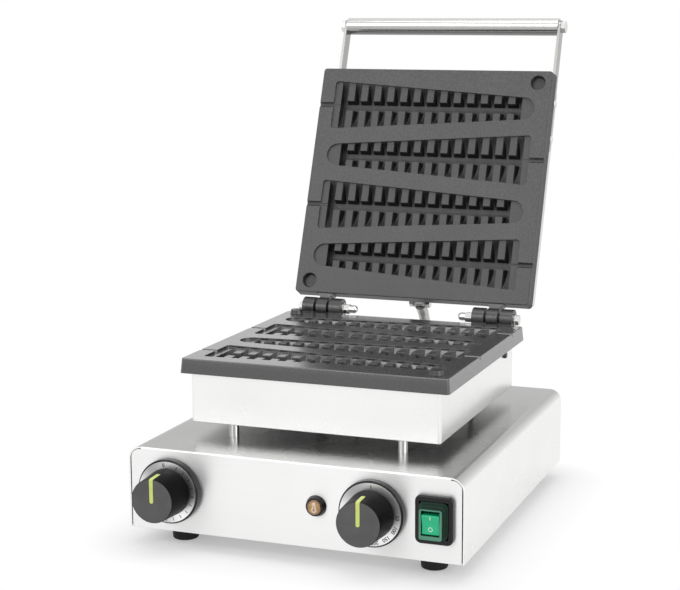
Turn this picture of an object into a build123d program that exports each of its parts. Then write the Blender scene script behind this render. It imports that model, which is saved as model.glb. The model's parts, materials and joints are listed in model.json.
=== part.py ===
from build123d import *
from math import asin, atan, atan2, cos, degrees, hypot, radians, sin, tan
import os

os.makedirs("parts", exist_ok=True)

# A countertop waffle baker for tree-shaped waffles on sticks. Millimetres, +Z up.
# The origin lies on the table, under the middle of the box round the whole object with its lid open.
# The front panel faces -Y. The lid is drawn open, as it stands between two bakes.

# Base housing
base_width = 271.0
base_depth = 292.0
base_height = 64.5
sheet = 1.2
base_bend = 10.0
panel_gap = 0.8
panel_tuck = 1.2
panel_fold = 1.0
flange_width = 14.0
foot_height = 14.5
foot_radius = 11.2
foot_tip_radius = 10.1
foot_edge = 1.2
foot_inset_x = 32.2
foot_inset_y = 30.0
foot_screw_radius = 2.5
foot_screw_head_radius = 4.5
foot_screw_head_height = 3.0
foot_screw_recess = 5.0
foot_nut_radius = 4.6
foot_nut_height = 3.0
rear_screw_inset = 8.0
vent_count = 6
vent_length = 40.0
vent_width = 4.0
vent_pitch = 12.0

# Heater box, posts and the wire tube between box and base
box_height = 39.7
box_set_back = 43.7
box_corner = 2.5
box_edge = 1.0
post_height = 11.2
post_radius = 4.0
post_inset_x = 32.8
post_inset_y = 8.5
stud_radius = 2.0
stud_length = 8.0
nut_height = 3.2
nut_flats = 7.0
tube_radius = 5.0
tube_wall = 0.8
tube_overlap = 6.0
fit_clearance = 0.2

# Baking plates: two castings with four tree moulds each
plate_width = 219.6
plate_depth = 213.4
plate_thickness = 11.8
front_overhang = 3.4
rear_overhang = 7.4
side_overhang = 6.7
plate_draft = 1.0
plate_corner = 3.0
plate_edge = 0.8
casting_depth = 17.0
casting_margin = 4.0
plate_gap = 0.3
tree_count = 4
tree_pitch = 47.6
tree_length = 192.6
tree_base_width = 46.0
tree_tip_radius = 10.3
tree_corner = 3.0
recess_depth = 2.0
mould_depth = 11.0
ledge_width = 6.4
tooth_count = 13
tooth_width = 6.4
tooth_gap = 6.47
tooth_draft = 2.4
tooth_end_draft = 1.6
trunk_width = 9.2
stick_radius = 2.4
pin_inset_x = 12.8
pin_inset_y = 11.0
pin_radius = 5.6
pin_height = 4.0
pin_taper = 10.0
pin_bore_radius = 1.5
pin_bore_depth = 2.5
socket_radius = 6.9
socket_depth = 4.8
socket_taper = 15.0

# Hinges
hinge_set_back = 13.3
hinge_rise = 2.4
hinge_spacing = 160.0
opening_angle = 111.0
lug_radius = 9.0
lug_width = 11.0
lug_foot = 11.0
knuckle_width = 10.0
knuckle_gap = 2.3
knuckle_flare = 3.0
knuckle_web = 8.6
bolt_radius = 2.5
running_clearance = 0.05
bolt_flats = 8.0
bolt_head_height = 3.5
acorn_hex_height = 6.0
acorn_bore_depth = 4.4
acorn_dome_height = 7.4
acorn_dome_radius = 3.6
washer_thickness = 1.2
washer_radius = 5.0
spacer_radius = 4.2
spacer_play = 0.1

# Lid: cover, handle and the bracket that holds the wire hose
cover_height = 38.0
arm_thickness = 2.4
arm_width = 12.0
arm_rise = 25.0
arm_tail = 66.0
bar_reach = 53.0
bar_radius = 8.0
bar_wall = 1.2
bar_plug_length = 12.0
screw_radius = 2.0
screw_head_radius = 3.6
screw_head_height = 2.2
screw_length = 9.0
first_arm_screw = 21.0
arm_screw_pitch = 33.5
bar_bolt_radius = 3.0
bar_bolt_flats = 10.0
bar_bolt_head = 4.0
side_screw_depth = 178.7
side_screw_drop = 6.6
side_screw_head_radius = 3.0
ear_width = 14.0
ear_depth = 10.0
bracket_reach = 4.8
bracket_depth = 8.4
bracket_gap = 10.6
bracket_sheet = 1.5
bracket_start = 24.0
bracket_end = 41.0
bracket_corner = 4.0
bracket_flats = 7.0
bracket_head = 2.8
bracket_screw_radius = 1.5
bracket_screw_length = 4.5
wire_hole_radius = 4.0

# Wire hose between the heater box and the lid
hose_radius = 5.0
hose_end_rise = 32.7
hose_barrel_radius = 3.0
hose_barrel_play = 0.2
hose_barrel_bore = 1.6
hose_lean = 15.0
hose_bend = 30.0
hose_gland_radius = 8.0
hose_gland_length = 10.0
hose_drop = 30.5

# Power cord inlet at the back
cord_inset = 55.5
cord_inlet_rise = 28.0
cord_bore_radius = 4.0
cord_gland_radius = 9.0
cord_gland_length = 14.0
cord_thread_radius = 7.5
cord_thread_length = 10.0
gland_nut_flats = 20.0
gland_nut_height = 4.0

# Controls on the front panel
timer_inset = 35.7
control_rise = 32.8
bezel_radius = 25.3
bezel_height = 6.2
bezel_edge = 1.2
scale_radius = 23.9
scale_inner_radius = 15.0
scale_thickness = 0.6
knob_base_radius = 18.5
knob_face_radius = 17.0
knob_reach = 32.0
knob_edge = 1.0
knob_lift = 0.4
knob_cavity_radius = 15.0
knob_cavity_depth = 17.0
knob_hub_radius = 6.5
spindle_reach = 24.0
spindle_tail = 10.0
pointer_width = 3.0
pointer_proud = 0.3
pointer_inlay = 0.6
pointer_side = 12.0
spindle_radius = 3.0
bush_radius = 5.0
bush_reach = 5.6
timer_size = (46.0, 38.0, 44.0)
thermostat_size = (42.0, 32.0, 36.0)
lamp_spacing = 45.0
lamp_radius = 8.2
lamp_height = 4.0
lamp_taper = 18.0
lamp_edge = 0.8
lens_radius = 5.7
lens_height = 4.8
lens_edge = 1.0
lamp_body_radius = 5.8
lamp_body_length = 26.0
switch_inset = 22.0
thermostat_spacing = 48.1
switch_bezel = (29.0, 36.4)
switch_bezel_height = 4.6
switch_corner = 4.6
switch_edge = 1.4
switch_cutout = (22.0, 30.0)
switch_body_depth = 22.0
tab_pitch = 10.0
boot_size = (22.0, 27.4)
boot_corner = 3.6
boot_step = 1.2
boot_base = 6.2
boot_rise = 3.2
boot_steps = 3
boot_drop = 1.0
rocker_width = 13.2
rocker_half_height = 7.6
rocker_end = 12.2
rocker_middle = 11.2
rocker_play = 0.5
rocker_sweep = 1.8
rocker_throw = 6.0
rocker_edge = 1.0
rocker_skirt = 1.5
rocker_hub = 3.0
pivot_radius = 1.5
pivot_depth = 2.0
pivot_length = 1.6
pivot_end_play = 0.2
well_depth = 8.0
tab_width = 6.3
tab_thickness = 0.8
tab_length = 9.0

# Parts inside the boxes
element_radius = 3.25
element_pitch = 35.0
element_bend = 15.0
element_reach = 80.0
element_gap = 0.2
insulation_thickness = 14.0
insulation_margin = 5.0
insulation_post_hole = 6.0
terminal_size = (60.0, 18.0, 16.0)
terminal_set_back = 40.0

# Places that follow. Depths count from the front panel towards the back.
box_width = plate_width - 2 * side_overhang
box_depth = plate_depth - front_overhang - rear_overhang
base_top = foot_height + base_height
box_bottom = base_top + post_height
plate_bottom = box_bottom + box_height
plate_top = plate_bottom + plate_thickness
casting_bottom = plate_top - casting_depth
hinge_z = plate_top + hinge_rise
plate_set_back = box_set_back - front_overhang
hinge_depth = plate_set_back + plate_depth + hinge_set_back
lid_face = plate_gap - hinge_rise
lid_back = lid_face + plate_thickness
turn = radians(opening_angle)
bar_forward = plate_depth + hinge_set_back + bar_reach
bar_rise = lid_face + arm_rise + arm_width / 2
rear_reach = hinge_depth - bar_forward * cos(turn) + bar_rise * sin(turn) + bar_radius
front_y = (knob_reach + pointer_proud - rear_reach) / 2
rear_y = front_y + base_depth
box_y = front_y + box_set_back + box_depth / 2
box_rear_y = box_y + box_depth / 2
plate_y = front_y + plate_set_back + plate_depth / 2
plate_front_y = plate_y - plate_depth / 2
plate_rear_y = plate_y + plate_depth / 2
hinge_y = front_y + hinge_depth
control_z = foot_height + control_rise
timer_x = timer_inset - base_width / 2
switch_x = base_width / 2 - switch_inset
thermostat_x = switch_x - thermostat_spacing
lamp_x = thermostat_x - lamp_spacing
cord_inlet_x = base_width / 2 - cord_inset
box_inner_width = box_width - 2 * sheet
box_inner_depth = box_depth - 2 * sheet
casting_width = box_inner_width - 2 * casting_margin
casting_length = box_inner_depth - 2 * casting_margin
lug_offset = knuckle_width / 2 + knuckle_gap + lug_width / 2
hinge_xs = (-hinge_spacing / 2, hinge_spacing / 2)
post_xs = (post_inset_x - box_width / 2, box_width / 2 - post_inset_x)
post_ys = (box_y - box_depth / 2 + post_inset_y, box_y + box_depth / 2 - post_inset_y)
post_places = [(x, y) for x in post_xs for y in post_ys]
foot_xs = (foot_inset_x - base_width / 2, base_width / 2 - foot_inset_x)
foot_places = [(x, y) for x in foot_xs for y in (front_y + foot_inset_y, rear_y - foot_inset_y)]

# The lid's own plane: origin on the hinge axis, Y to the back and Z up when the lid is closed
lid = Plane(origin=(0, hinge_y, hinge_z), x_dir=(1, 0, 0), z_dir=(0, sin(turn), cos(turn)))
lid_plate_y = plate_y - hinge_y
lid_box_y = box_y - hinge_y
cover_rear = lid_box_y + box_depth / 2


def on_lid(x, y, z):
    """Returns a plane like the lid's, at a place given in the lid's own directions."""
    return Plane(origin=lid.from_local_coords((x, y, z)), x_dir=lid.x_dir, z_dir=lid.z_dir)


def across_lid(x):
    """Returns the plane at x that cuts the lid from front to back, in the lid's Y and Z."""
    return Plane(origin=(x, hinge_y, hinge_z), x_dir=lid.y_dir, z_dir=(1, 0, 0))


def control_plane(x):
    """Returns the front panel's plane at a control, with its Z pointing at the user."""
    return Plane(origin=(x, front_y, control_z), x_dir=(1, 0, 0), z_dir=(0, -1, 0))


front = Plane.XZ.offset(-front_y)

# Base cover: one sheet bent down at both sides, cut back at the front where the panel folds over,
# with a lip down each side at the back for the rear panel
with BuildPart() as base_cover:
    with BuildSketch(front):
        with Locations((0, foot_height + base_height / 2)):
            Rectangle(base_width, base_height)
        fillet(vertices().group_by(Axis.Y)[-1], base_bend)
    extrude(amount=-base_depth)
    with BuildSketch(front):
        with Locations((0, foot_height + (base_height - sheet) / 2)):
            Rectangle(base_width - 2 * sheet, base_height - sheet)
        fillet(vertices().group_by(Axis.Y)[-1], base_bend - sheet)
    extrude(amount=-base_depth, mode=Mode.SUBTRACT)
    with Locations((0, front_y, base_top)):
        Box(base_width - 2 * base_bend, 2 * sheet, 2 * sheet, mode=Mode.SUBTRACT)
    lip_x = base_width / 2 - sheet - flange_width / 2
    lip_z = foot_height + (base_height - base_bend) / 2
    with Locations((-lip_x, rear_y - 1.5 * sheet, lip_z), (lip_x, rear_y - 1.5 * sheet, lip_z)):
        Box(flange_width, sheet, base_height - base_bend)
    with Locations(*[(x, y, base_top) for x, y in post_places]):
        Hole(stud_radius + fit_clearance, depth=2 * sheet)
    with Locations((0, box_y, base_top)):
        Hole(tube_radius + fit_clearance, depth=2 * sheet)
    rear_screw_x = base_width / 2 - sheet - rear_screw_inset
    rear_screw_places = [
        (x, z)
        for x in (-rear_screw_x, rear_screw_x)
        for z in (foot_height + rear_screw_inset, base_top - base_bend - rear_screw_inset)
    ]
    with BuildSketch(front.offset(-base_depth)):
        with Locations(*rear_screw_places):
            Circle(screw_radius + running_clearance)
    extrude(amount=3 * sheet, mode=Mode.SUBTRACT)
base_cover.part.label = "base_cover"
export_step(base_cover.part, "parts/base_cover.step")

# Front panel: fills the end of the cover, its middle reaching over the cover's top edge
panel_half = base_width / 2 - sheet - panel_gap
panel_top = base_top - sheet - panel_gap
with BuildPart() as front_panel:
    with BuildSketch(front):
        with Locations((0, (foot_height + panel_top) / 2)):
            Rectangle(2 * panel_half, panel_top - foot_height)
        fillet(vertices().group_by(Axis.Y)[-1], base_bend - sheet - panel_gap - panel_tuck)
        with Locations((0, (foot_height + base_top) / 2)):
            Rectangle(base_width - 2 * base_bend - 2 * fit_clearance, base_height)
    extrude(amount=-sheet)
    fillet(front_panel.edges().group_by(Axis.Z)[-1].sort_by(Axis.Y)[0], panel_fold)
    side_flange_x = panel_half - sheet / 2
    side_flange_z = foot_height + (base_height - base_bend) / 2
    side_flange_y = front_y + flange_width / 2
    with Locations((-side_flange_x, side_flange_y, side_flange_z), (side_flange_x, side_flange_y, side_flange_z)):
        Box(sheet, flange_width, base_height - 2 * base_bend)
    with Locations((0, side_flange_y, foot_height + 1.5 * sheet)):
        Box(base_width - 2 * base_bend, flange_width, sheet)
    with BuildSketch(front):
        with Locations((timer_x, control_z), (thermostat_x, control_z)):
            Circle(bush_radius + fit_clearance)
        with Locations((lamp_x, control_z)):
            Circle(lamp_body_radius + fit_clearance)
        with Locations((switch_x, control_z)):
            Rectangle(*switch_cutout)
    extrude(amount=-2 * sheet, mode=Mode.SUBTRACT)
front_panel.part.label = "front_panel"
export_step(front_panel.part, "parts/front_panel.step")

# Rear panel: lies on the cover's two lips and has the power cord's gland in a round hole
cord_inlet_z = foot_height + cord_inlet_rise
with BuildPart() as rear_panel:
    with BuildSketch(front.offset(-base_depth)):
        rear_top = base_top - sheet - fit_clearance
        rear_half = base_width / 2 - sheet - fit_clearance
        with Locations((0, (foot_height + rear_top) / 2)):
            Rectangle(2 * rear_half, rear_top - foot_height)
        fillet(vertices().group_by(Axis.Y)[-1], base_bend - sheet - fit_clearance)
        with Locations((cord_inlet_x, cord_inlet_z)):
            Circle(cord_thread_radius + fit_clearance, mode=Mode.SUBTRACT)
        with Locations(*rear_screw_places):
            Circle(screw_radius + running_clearance, mode=Mode.SUBTRACT)
    extrude(amount=sheet)
    with Locations((0, rear_y - sheet - flange_width / 2, foot_height + 1.5 * sheet)):
        Box(base_width - 4 * flange_width, flange_width, sheet)
rear_panel.part.label = "rear_panel"
export_step(rear_panel.part, "parts/rear_panel.step")

with BuildPart() as rear_screws:
    with BuildSketch(front.offset(-base_depth)):
        with Locations(*rear_screw_places):
            Circle(screw_head_radius)
    extrude(amount=-screw_head_height)
    fillet(rear_screws.edges().filter_by(GeomType.CIRCLE).group_by(Axis.Y)[-1], screw_head_height / 2)
    with BuildSketch(front.offset(-base_depth)):
        with Locations(*rear_screw_places):
            Circle(screw_radius)
    extrude(amount=screw_length)
rear_screws.part.label = "rear_screws"
export_step(rear_screws.part, "parts/rear_screws.step")

# Bottom plate: vent slots, and a press nut over each foot
with BuildPart() as bottom_plate:
    bottom_depth = base_depth - 2 * sheet - 2 * fit_clearance
    with BuildSketch(Plane.XY.offset(foot_height)):
        with Locations((0, front_y + base_depth / 2)):
            Rectangle(base_width - 2 * sheet - 2 * fit_clearance, bottom_depth)
            with GridLocations(vent_length * 2, vent_pitch, 2, vent_count // 2):
                SlotOverall(vent_length, vent_width, mode=Mode.SUBTRACT)
        # The cover's lips come down to the table side of the plate
        with Locations(*[(side * lip_x, rear_y - 1.5 * sheet) for side in (-1, 1)]):
            Rectangle(flange_width + 4 * fit_clearance, sheet + 2 * fit_clearance, mode=Mode.SUBTRACT)
    extrude(amount=sheet)
    with BuildSketch(Plane.XY.offset(foot_height + sheet)):
        with Locations(*foot_places):
            Circle(foot_nut_radius)
    extrude(amount=foot_nut_height)
    with Locations(*[(x, y, foot_height + sheet + foot_nut_height) for x, y in foot_places]):
        Hole(foot_screw_radius + running_clearance)
bottom_plate.part.label = "bottom_plate"
export_step(bottom_plate.part, "parts/bottom_plate.step")

# Rubber feet, hollowed from below for their screws
with BuildPart() as feet:
    with BuildSketch():
        with Locations(*foot_places):
            Circle(foot_tip_radius)
    extrude(amount=foot_height, taper=-degrees(atan((foot_radius - foot_tip_radius) / foot_height)))
    fillet(feet.edges().filter_by(GeomType.CIRCLE).group_by(Axis.Z)[0], foot_edge)
    with Locations(*[(x, y, foot_height) for x, y in foot_places]):
        Hole(foot_screw_radius + running_clearance)
    with BuildSketch():
        with Locations(*foot_places):
            Circle(foot_screw_head_radius + fit_clearance)
    extrude(amount=foot_screw_recess, mode=Mode.SUBTRACT)
feet.part.label = "feet"
export_step(feet.part, "parts/feet.step")

with BuildPart() as foot_screws:
    with BuildSketch(Plane.XY.offset(foot_screw_recess - foot_screw_head_height)):
        with Locations(*foot_places):
            Circle(foot_screw_head_radius)
    extrude(amount=foot_screw_head_height)
    with BuildSketch(Plane.XY.offset(foot_screw_recess)):
        with Locations(*foot_places):
            Circle(foot_screw_radius)
    extrude(amount=foot_height - foot_screw_recess + sheet + foot_nut_height)
foot_screws.part.label = "foot_screws"
export_step(foot_screws.part, "parts/foot_screws.step")

# Power cord gland: its bore is open, because the cord is not part of the model
with BuildPart() as cord_gland:
    with BuildSketch(front.offset(-base_depth)):
        with Locations((cord_inlet_x, cord_inlet_z)):
            Circle(cord_gland_radius)
    extrude(amount=-cord_gland_length)
    fillet(cord_gland.edges().filter_by(GeomType.CIRCLE).group_by(Axis.Y)[-1], bezel_edge)
    with BuildSketch(front.offset(-base_depth)):
        with Locations((cord_inlet_x, cord_inlet_z)):
            Circle(cord_thread_radius)
    extrude(amount=cord_thread_length)
    with BuildSketch(front.offset(-base_depth - cord_gland_length)):
        with Locations((cord_inlet_x, cord_inlet_z)):
            Circle(cord_bore_radius)
    extrude(amount=cord_gland_length + cord_thread_length, mode=Mode.SUBTRACT)
cord_gland.part.label = "cord_gland"
export_step(cord_gland.part, "parts/cord_gland.step")

with BuildPart() as cord_gland_nut:
    with BuildSketch(front.offset(-base_depth + sheet)):
        with Locations((cord_inlet_x, cord_inlet_z)):
            RegularPolygon(gland_nut_flats / 2, 6, major_radius=False)
            Circle(cord_thread_radius + running_clearance, mode=Mode.SUBTRACT)
    extrude(amount=gland_nut_height)
cord_gland_nut.part.label = "cord_gland_nut"
export_step(cord_gland_nut.part, "parts/cord_gland_nut.step")

# Posts that carry the heater box, each with a stud at both ends
with BuildPart() as posts:
    with BuildSketch(Plane.XY.offset(base_top)):
        with Locations(*post_places):
            Circle(post_radius)
    extrude(amount=post_height)
    with BuildSketch(Plane.XY.offset(base_top - stud_length)):
        with Locations(*post_places):
            Circle(stud_radius)
    extrude(amount=post_height + 2 * stud_length)
posts.part.label = "posts"
export_step(posts.part, "parts/posts.step")

with BuildPart() as post_nuts:
    for level in (base_top - sheet - nut_height, box_bottom + sheet):
        with BuildSketch(Plane.XY.offset(level)):
            with Locations(*post_places):
                RegularPolygon(nut_flats / 2, 6, major_radius=False)
                Circle(stud_radius + running_clearance, mode=Mode.SUBTRACT)
        extrude(amount=nut_height)
post_nuts.part.label = "post_nuts"
export_step(post_nuts.part, "parts/post_nuts.step")

with BuildPart() as wire_tube:
    with BuildSketch(Plane.XY.offset(base_top - tube_overlap)):
        with Locations((0, box_y)):
            Circle(tube_radius)
            Circle(tube_radius - tube_wall, mode=Mode.SUBTRACT)
    extrude(amount=post_height + 2 * tube_overlap)
wire_tube.part.label = "wire_tube"
export_step(wire_tube.part, "parts/wire_tube.step")

# Heater box: an open pan of thin sheet under the lower plate
hose_gland_z = box_bottom + box_height - hose_drop
side_screw_y = plate_front_y + side_screw_depth
side_screw_z = plate_bottom - side_screw_drop
with BuildPart() as heater_box:
    with BuildSketch(Plane.XY.offset(box_bottom)):
        with Locations((0, box_y)):
            RectangleRounded(box_width, box_depth, box_corner)
    extrude(amount=box_height)
    fillet(heater_box.faces().sort_by(Axis.Z)[0].outer_wire().edges(), box_edge)
    with BuildSketch(Plane.XY.offset(box_bottom + sheet)):
        with Locations((0, box_y)):
            RectangleRounded(box_inner_width, box_inner_depth, box_corner - sheet)
    extrude(amount=box_height, mode=Mode.SUBTRACT)
    with Locations(*[(x, y, box_bottom + sheet) for x, y in post_places]):
        Hole(stud_radius + fit_clearance)
    with Locations((0, box_y, box_bottom + sheet)):
        Hole(tube_radius + fit_clearance)
    with BuildSketch(Plane.XZ.offset(-box_rear_y)):
        with Locations((0, hose_gland_z)):
            Circle(hose_radius + fit_clearance)
    extrude(amount=2 * sheet, mode=Mode.SUBTRACT)
    with BuildSketch(Plane.YZ.offset(-box_width / 2)):
        with Locations((side_screw_y, side_screw_z)):
            Circle(screw_radius + running_clearance)
    extrude(amount=box_width, mode=Mode.SUBTRACT)
heater_box.part.label = "heater_box"
export_step(heater_box.part, "parts/heater_box.step")

# One tree mould as a solid to cut away: its face lies at z = 0, its trunk runs from -X to the tip at +X
tip_x = tree_length / 2 - tree_tip_radius
base_x = -tree_length / 2
base_half = tree_base_width / 2
reach = hypot(tip_x - base_x, base_half)
side_slope = atan2(base_half, tip_x - base_x) - asin(tree_tip_radius / reach)
tangent_x = tip_x + tree_tip_radius * sin(side_slope)
tangent_y = tree_tip_radius * cos(side_slope)
trough_start = base_x + ledge_width
tooth_pitch = tooth_width + tooth_gap
trough_end = trough_start + tooth_count * tooth_pitch + tooth_gap
trough_bottom = mould_depth + recess_depth


def half_width(x):
    """Returns half the tree's width at x, between its base and its tip."""
    return base_half + (tangent_y - base_half) * (x - base_x) / (tangent_x - base_x)


with BuildPart() as tooth:
    with BuildSketch(Plane.XY.offset(-recess_depth)):
        with Locations((0, trunk_width / 2)):
            Rectangle(tooth_width, tree_base_width, align=(Align.CENTER, Align.MIN))
    with BuildSketch(Plane.XY.offset(-trough_bottom)):
        with Locations((0, trunk_width / 2 - tooth_end_draft)):
            Rectangle(tooth_width + 2 * tooth_draft, tree_base_width, align=(Align.CENTER, Align.MIN))
    loft(ruled=True)

with BuildPart() as tree_mould:
    for x in (trough_start, trough_end):
        with BuildSketch(Plane(origin=(x, 0, 0), x_dir=(0, 1, 0), z_dir=(1, 0, 0))):
            with BuildLine():
                half = half_width(x)
                ThreePointArc((-half, -recess_depth), (0, -mould_depth), (half, -recess_depth))
                Line((half, -recess_depth), (-half, -recess_depth))
            make_face()
    loft(ruled=True)
    for n in range(tooth_count):
        tooth_x = trough_start + tooth_gap + tooth_width / 2 + n * tooth_pitch
        with Locations(Location((tooth_x, 0, 0)), Location((tooth_x, 0, 0), (0, 0, 180))):
            add(tooth.part, mode=Mode.SUBTRACT)
    with BuildSketch(Plane.XY.offset(-recess_depth)):
        with BuildLine():
            Line((base_x, -base_half), (base_x, base_half))
            Line((base_x, base_half), (tangent_x, tangent_y))
            ThreePointArc((tangent_x, tangent_y), (tree_length / 2, 0), (tangent_x, -tangent_y))
            Line((tangent_x, -tangent_y), (base_x, -base_half))
        make_face()
        fillet(vertices().group_by(Axis.X)[0], tree_corner)
    extrude(amount=recess_depth + sheet)
    channel_length = plate_width / 2 + base_x + ledge_width + plate_draft
    with Locations(Location((trough_start - channel_length / 2, 0, 0), (0, 90, 0))):
        Cylinder(stick_radius, channel_length + plate_draft)


def tree_places(face, to_back):
    """Returns where the moulds lie on a plate's face: every second tree is turned about."""
    rows = [(n - (tree_count - 1) / 2) * tree_pitch for n in range(tree_count)]
    turns = [180 * (n % 2) for n in range(tree_count)]
    return [face.location * Location((0, to_back * y, 0), (0, 0, angle)) for y, angle in zip(rows, turns)]


# Lower plate: the cast block with its moulds, and ears at its sides for the box screws
pin_x = plate_width / 2 - pin_inset_x
pin_y = plate_depth / 2 - pin_inset_y
with BuildPart() as lower_block:
    for level, draft in ((plate_bottom, plate_draft), (plate_top, 0.0)):
        with BuildSketch(Plane.XY.offset(level)):
            with Locations((0, plate_y)):
                RectangleRounded(plate_width + 2 * draft, plate_depth + 2 * draft, plate_corner)
    loft(ruled=True)
    fillet(lower_block.faces().sort_by(Axis.Z)[-1].outer_wire().edges(), plate_edge)

with BuildPart() as lower_plate:
    add(lower_block.part)
    with BuildSketch(Plane.XY.offset(casting_bottom)):
        with Locations((0, box_y)):
            Rectangle(casting_width, casting_length)
    extrude(amount=casting_depth - plate_thickness)
    ear_x = box_inner_width / 2 - running_clearance - ear_depth / 2
    with BuildSketch(Plane.XY.offset(side_screw_z - ear_width / 2)):
        with Locations((-ear_x, side_screw_y), (ear_x, side_screw_y)):
            Rectangle(ear_depth, ear_width)
    extrude(amount=ear_width / 2 + side_screw_drop)
    with Locations(*[Location((x, side_screw_y, side_screw_z), (0, 90, 0)) for x in (-ear_x, ear_x)]):
        Cylinder(screw_radius + running_clearance, ear_depth, mode=Mode.SUBTRACT)
    with Locations(*tree_places(Plane(origin=(0, plate_y, plate_top)), 1)):
        add(tree_mould.part, mode=Mode.SUBTRACT)
lower_plate.part.label = "lower_plate"
export_step(lower_plate.part, "parts/lower_plate.step")

# Hinge lugs: two pairs behind the lower plate, each a round eye on a foot that joins the plate's edge
with BuildPart() as lower_lugs:
    for x in hinge_xs:
        for side in (-1, 1):
            with BuildSketch(Plane.YZ.offset(x + side * lug_offset - lug_width / 2)):
                with Locations((hinge_y, hinge_z)):
                    Circle(lug_radius)
                foot_top = plate_top - plate_edge
                slant = lug_radius * sin(radians(45))
                Polygon(
                    (plate_rear_y - plate_draft, foot_top),
                    (plate_rear_y - plate_draft, foot_top - lug_foot + plate_edge),
                    (hinge_y - slant / 2, foot_top - lug_foot + plate_edge),
                    (hinge_y + slant, hinge_z - slant),
                    (hinge_y, hinge_z),
                    (hinge_y - lug_radius / 2, foot_top),
                    align=None,
                )
            extrude(amount=lug_width)
        with BuildSketch(Plane.YZ.offset(x - lug_offset - lug_width)):
            with Locations((hinge_y, hinge_z)):
                Circle(bolt_radius + running_clearance)
        extrude(amount=2 * lug_offset + 2 * lug_width, mode=Mode.SUBTRACT)
    add(lower_block.part, mode=Mode.SUBTRACT)
lower_lugs.part.label = "lower_lugs"
export_step(lower_lugs.part, "parts/lower_lugs.step")

# Locating pins: two cones on the lower plate's face, each with a blind hole in its tip
with BuildPart() as locating_pins:
    with BuildSketch(Plane.XY.offset(plate_top)):
        with Locations((pin_x, plate_y - pin_y), (-pin_x, plate_y + pin_y)):
            Circle(pin_radius)
    extrude(amount=pin_height, taper=pin_taper)
    with Locations((pin_x, plate_y - pin_y, plate_top + pin_height), (-pin_x, plate_y + pin_y, plate_top + pin_height)):
        Hole(pin_bore_radius, depth=pin_bore_depth)
locating_pins.part.label = "locating_pins"
export_step(locating_pins.part, "parts/locating_pins.step")

# Upper plate: the same moulds facing the lower ones, and a socket over each locating pin
with BuildPart() as upper_block:
    for level, draft in ((lid_face, 0.0), (lid_back, plate_draft)):
        with BuildSketch(on_lid(0, lid_plate_y, level)):
            RectangleRounded(plate_width + 2 * draft, plate_depth + 2 * draft, plate_corner)
    loft(ruled=True)
    inner_face = upper_block.faces().sort_by(Axis((0, 0, 0), lid.z_dir))[0]
    fillet(inner_face.outer_wire().edges(), plate_edge)

with BuildPart() as upper_plate:
    add(upper_block.part)
    with BuildSketch(on_lid(0, lid_box_y, lid_back)):
        Rectangle(casting_width, casting_length)
    extrude(amount=casting_depth - plate_thickness)
    with BuildSketch(on_lid(0, side_screw_y - hinge_y, lid_back)):
        with Locations((-ear_x, 0), (ear_x, 0)):
            Rectangle(ear_depth, ear_width)
    extrude(amount=ear_width / 2 + side_screw_drop)
    for x in (-ear_x, ear_x):
        with BuildSketch(across_lid(x - ear_depth / 2)):
            with Locations((side_screw_y - hinge_y, lid_back + side_screw_drop)):
                Circle(screw_radius + running_clearance)
        extrude(amount=ear_depth, mode=Mode.SUBTRACT)
    with BuildSketch(on_lid(0, lid_plate_y, lid_face)):
        with Locations((pin_x, -pin_y), (-pin_x, pin_y)):
            Circle(socket_radius)
    extrude(amount=socket_depth, taper=socket_taper, mode=Mode.SUBTRACT)
    face_out = Plane(origin=lid.from_local_coords((0, lid_plate_y, lid_face)), x_dir=lid.x_dir, z_dir=-lid.z_dir)
    with Locations(*tree_places(face_out, -1)):
        add(tree_mould.part, mode=Mode.SUBTRACT)
upper_plate.part.label = "upper_plate"
export_step(upper_plate.part, "parts/upper_plate.step")

# Hinge knuckles: a web flares out of the upper plate's rear edge and carries an eye between two lugs
with BuildPart() as upper_knuckles:
    for x in hinge_xs:
        with BuildSketch(across_lid(x - knuckle_width / 2)):
            Circle(lug_radius)
        extrude(amount=knuckle_width)
        with BuildSketch(on_lid(x, 0, lid_face + plate_edge)):
            with BuildLine():
                half = knuckle_width / 2
                root = -hinge_set_back
                inside = root - plate_draft
                wide = half + knuckle_flare
                Polyline((wide, root), (wide, inside), (-wide, inside), (-wide, root))
                RadiusArc((-wide, root), (-half, root + knuckle_flare), knuckle_flare)
                Polyline((-half, root + knuckle_flare), (-half, 0), (half, 0), (half, root + knuckle_flare))
                RadiusArc((half, root + knuckle_flare), (wide, root), knuckle_flare)
            make_face()
        extrude(amount=knuckle_web)
        with BuildSketch(across_lid(x - knuckle_width)):
            Circle(bolt_radius + running_clearance)
        extrude(amount=2 * knuckle_width, mode=Mode.SUBTRACT)
    add(upper_block.part, mode=Mode.SUBTRACT)
upper_knuckles.part.label = "upper_knuckles"
export_step(upper_knuckles.part, "parts/upper_knuckles.step")

# Side screws: through the wall of each box into the plate's ears
with BuildPart() as box_screws:
    for side in (-1, 1):
        wall = Plane(origin=(side * box_width / 2, side_screw_y, side_screw_z), x_dir=(0, 1, 0), z_dir=(side, 0, 0))
        with BuildSketch(wall):
            Circle(side_screw_head_radius)
        extrude(amount=screw_head_height)
        with BuildSketch(wall):
            Circle(screw_radius)
        extrude(amount=-screw_length)
    fillet(box_screws.edges().filter_by(GeomType.CIRCLE).group_by(Axis.X)[0], screw_head_height / 2)
    fillet(box_screws.edges().filter_by(GeomType.CIRCLE).group_by(Axis.X)[-1], screw_head_height / 2)
box_screws.part.label = "box_screws"
export_step(box_screws.part, "parts/box_screws.step")

cover_screw = lid.from_local_coords((0, side_screw_y - hinge_y, lid_back + side_screw_drop))
with BuildPart() as cover_screws:
    with Locations((0, cover_screw.Y - side_screw_y, cover_screw.Z - side_screw_z)):
        add(box_screws.part)
cover_screws.part.label = "cover_screws"
export_step(cover_screws.part, "parts/cover_screws.step")

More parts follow.
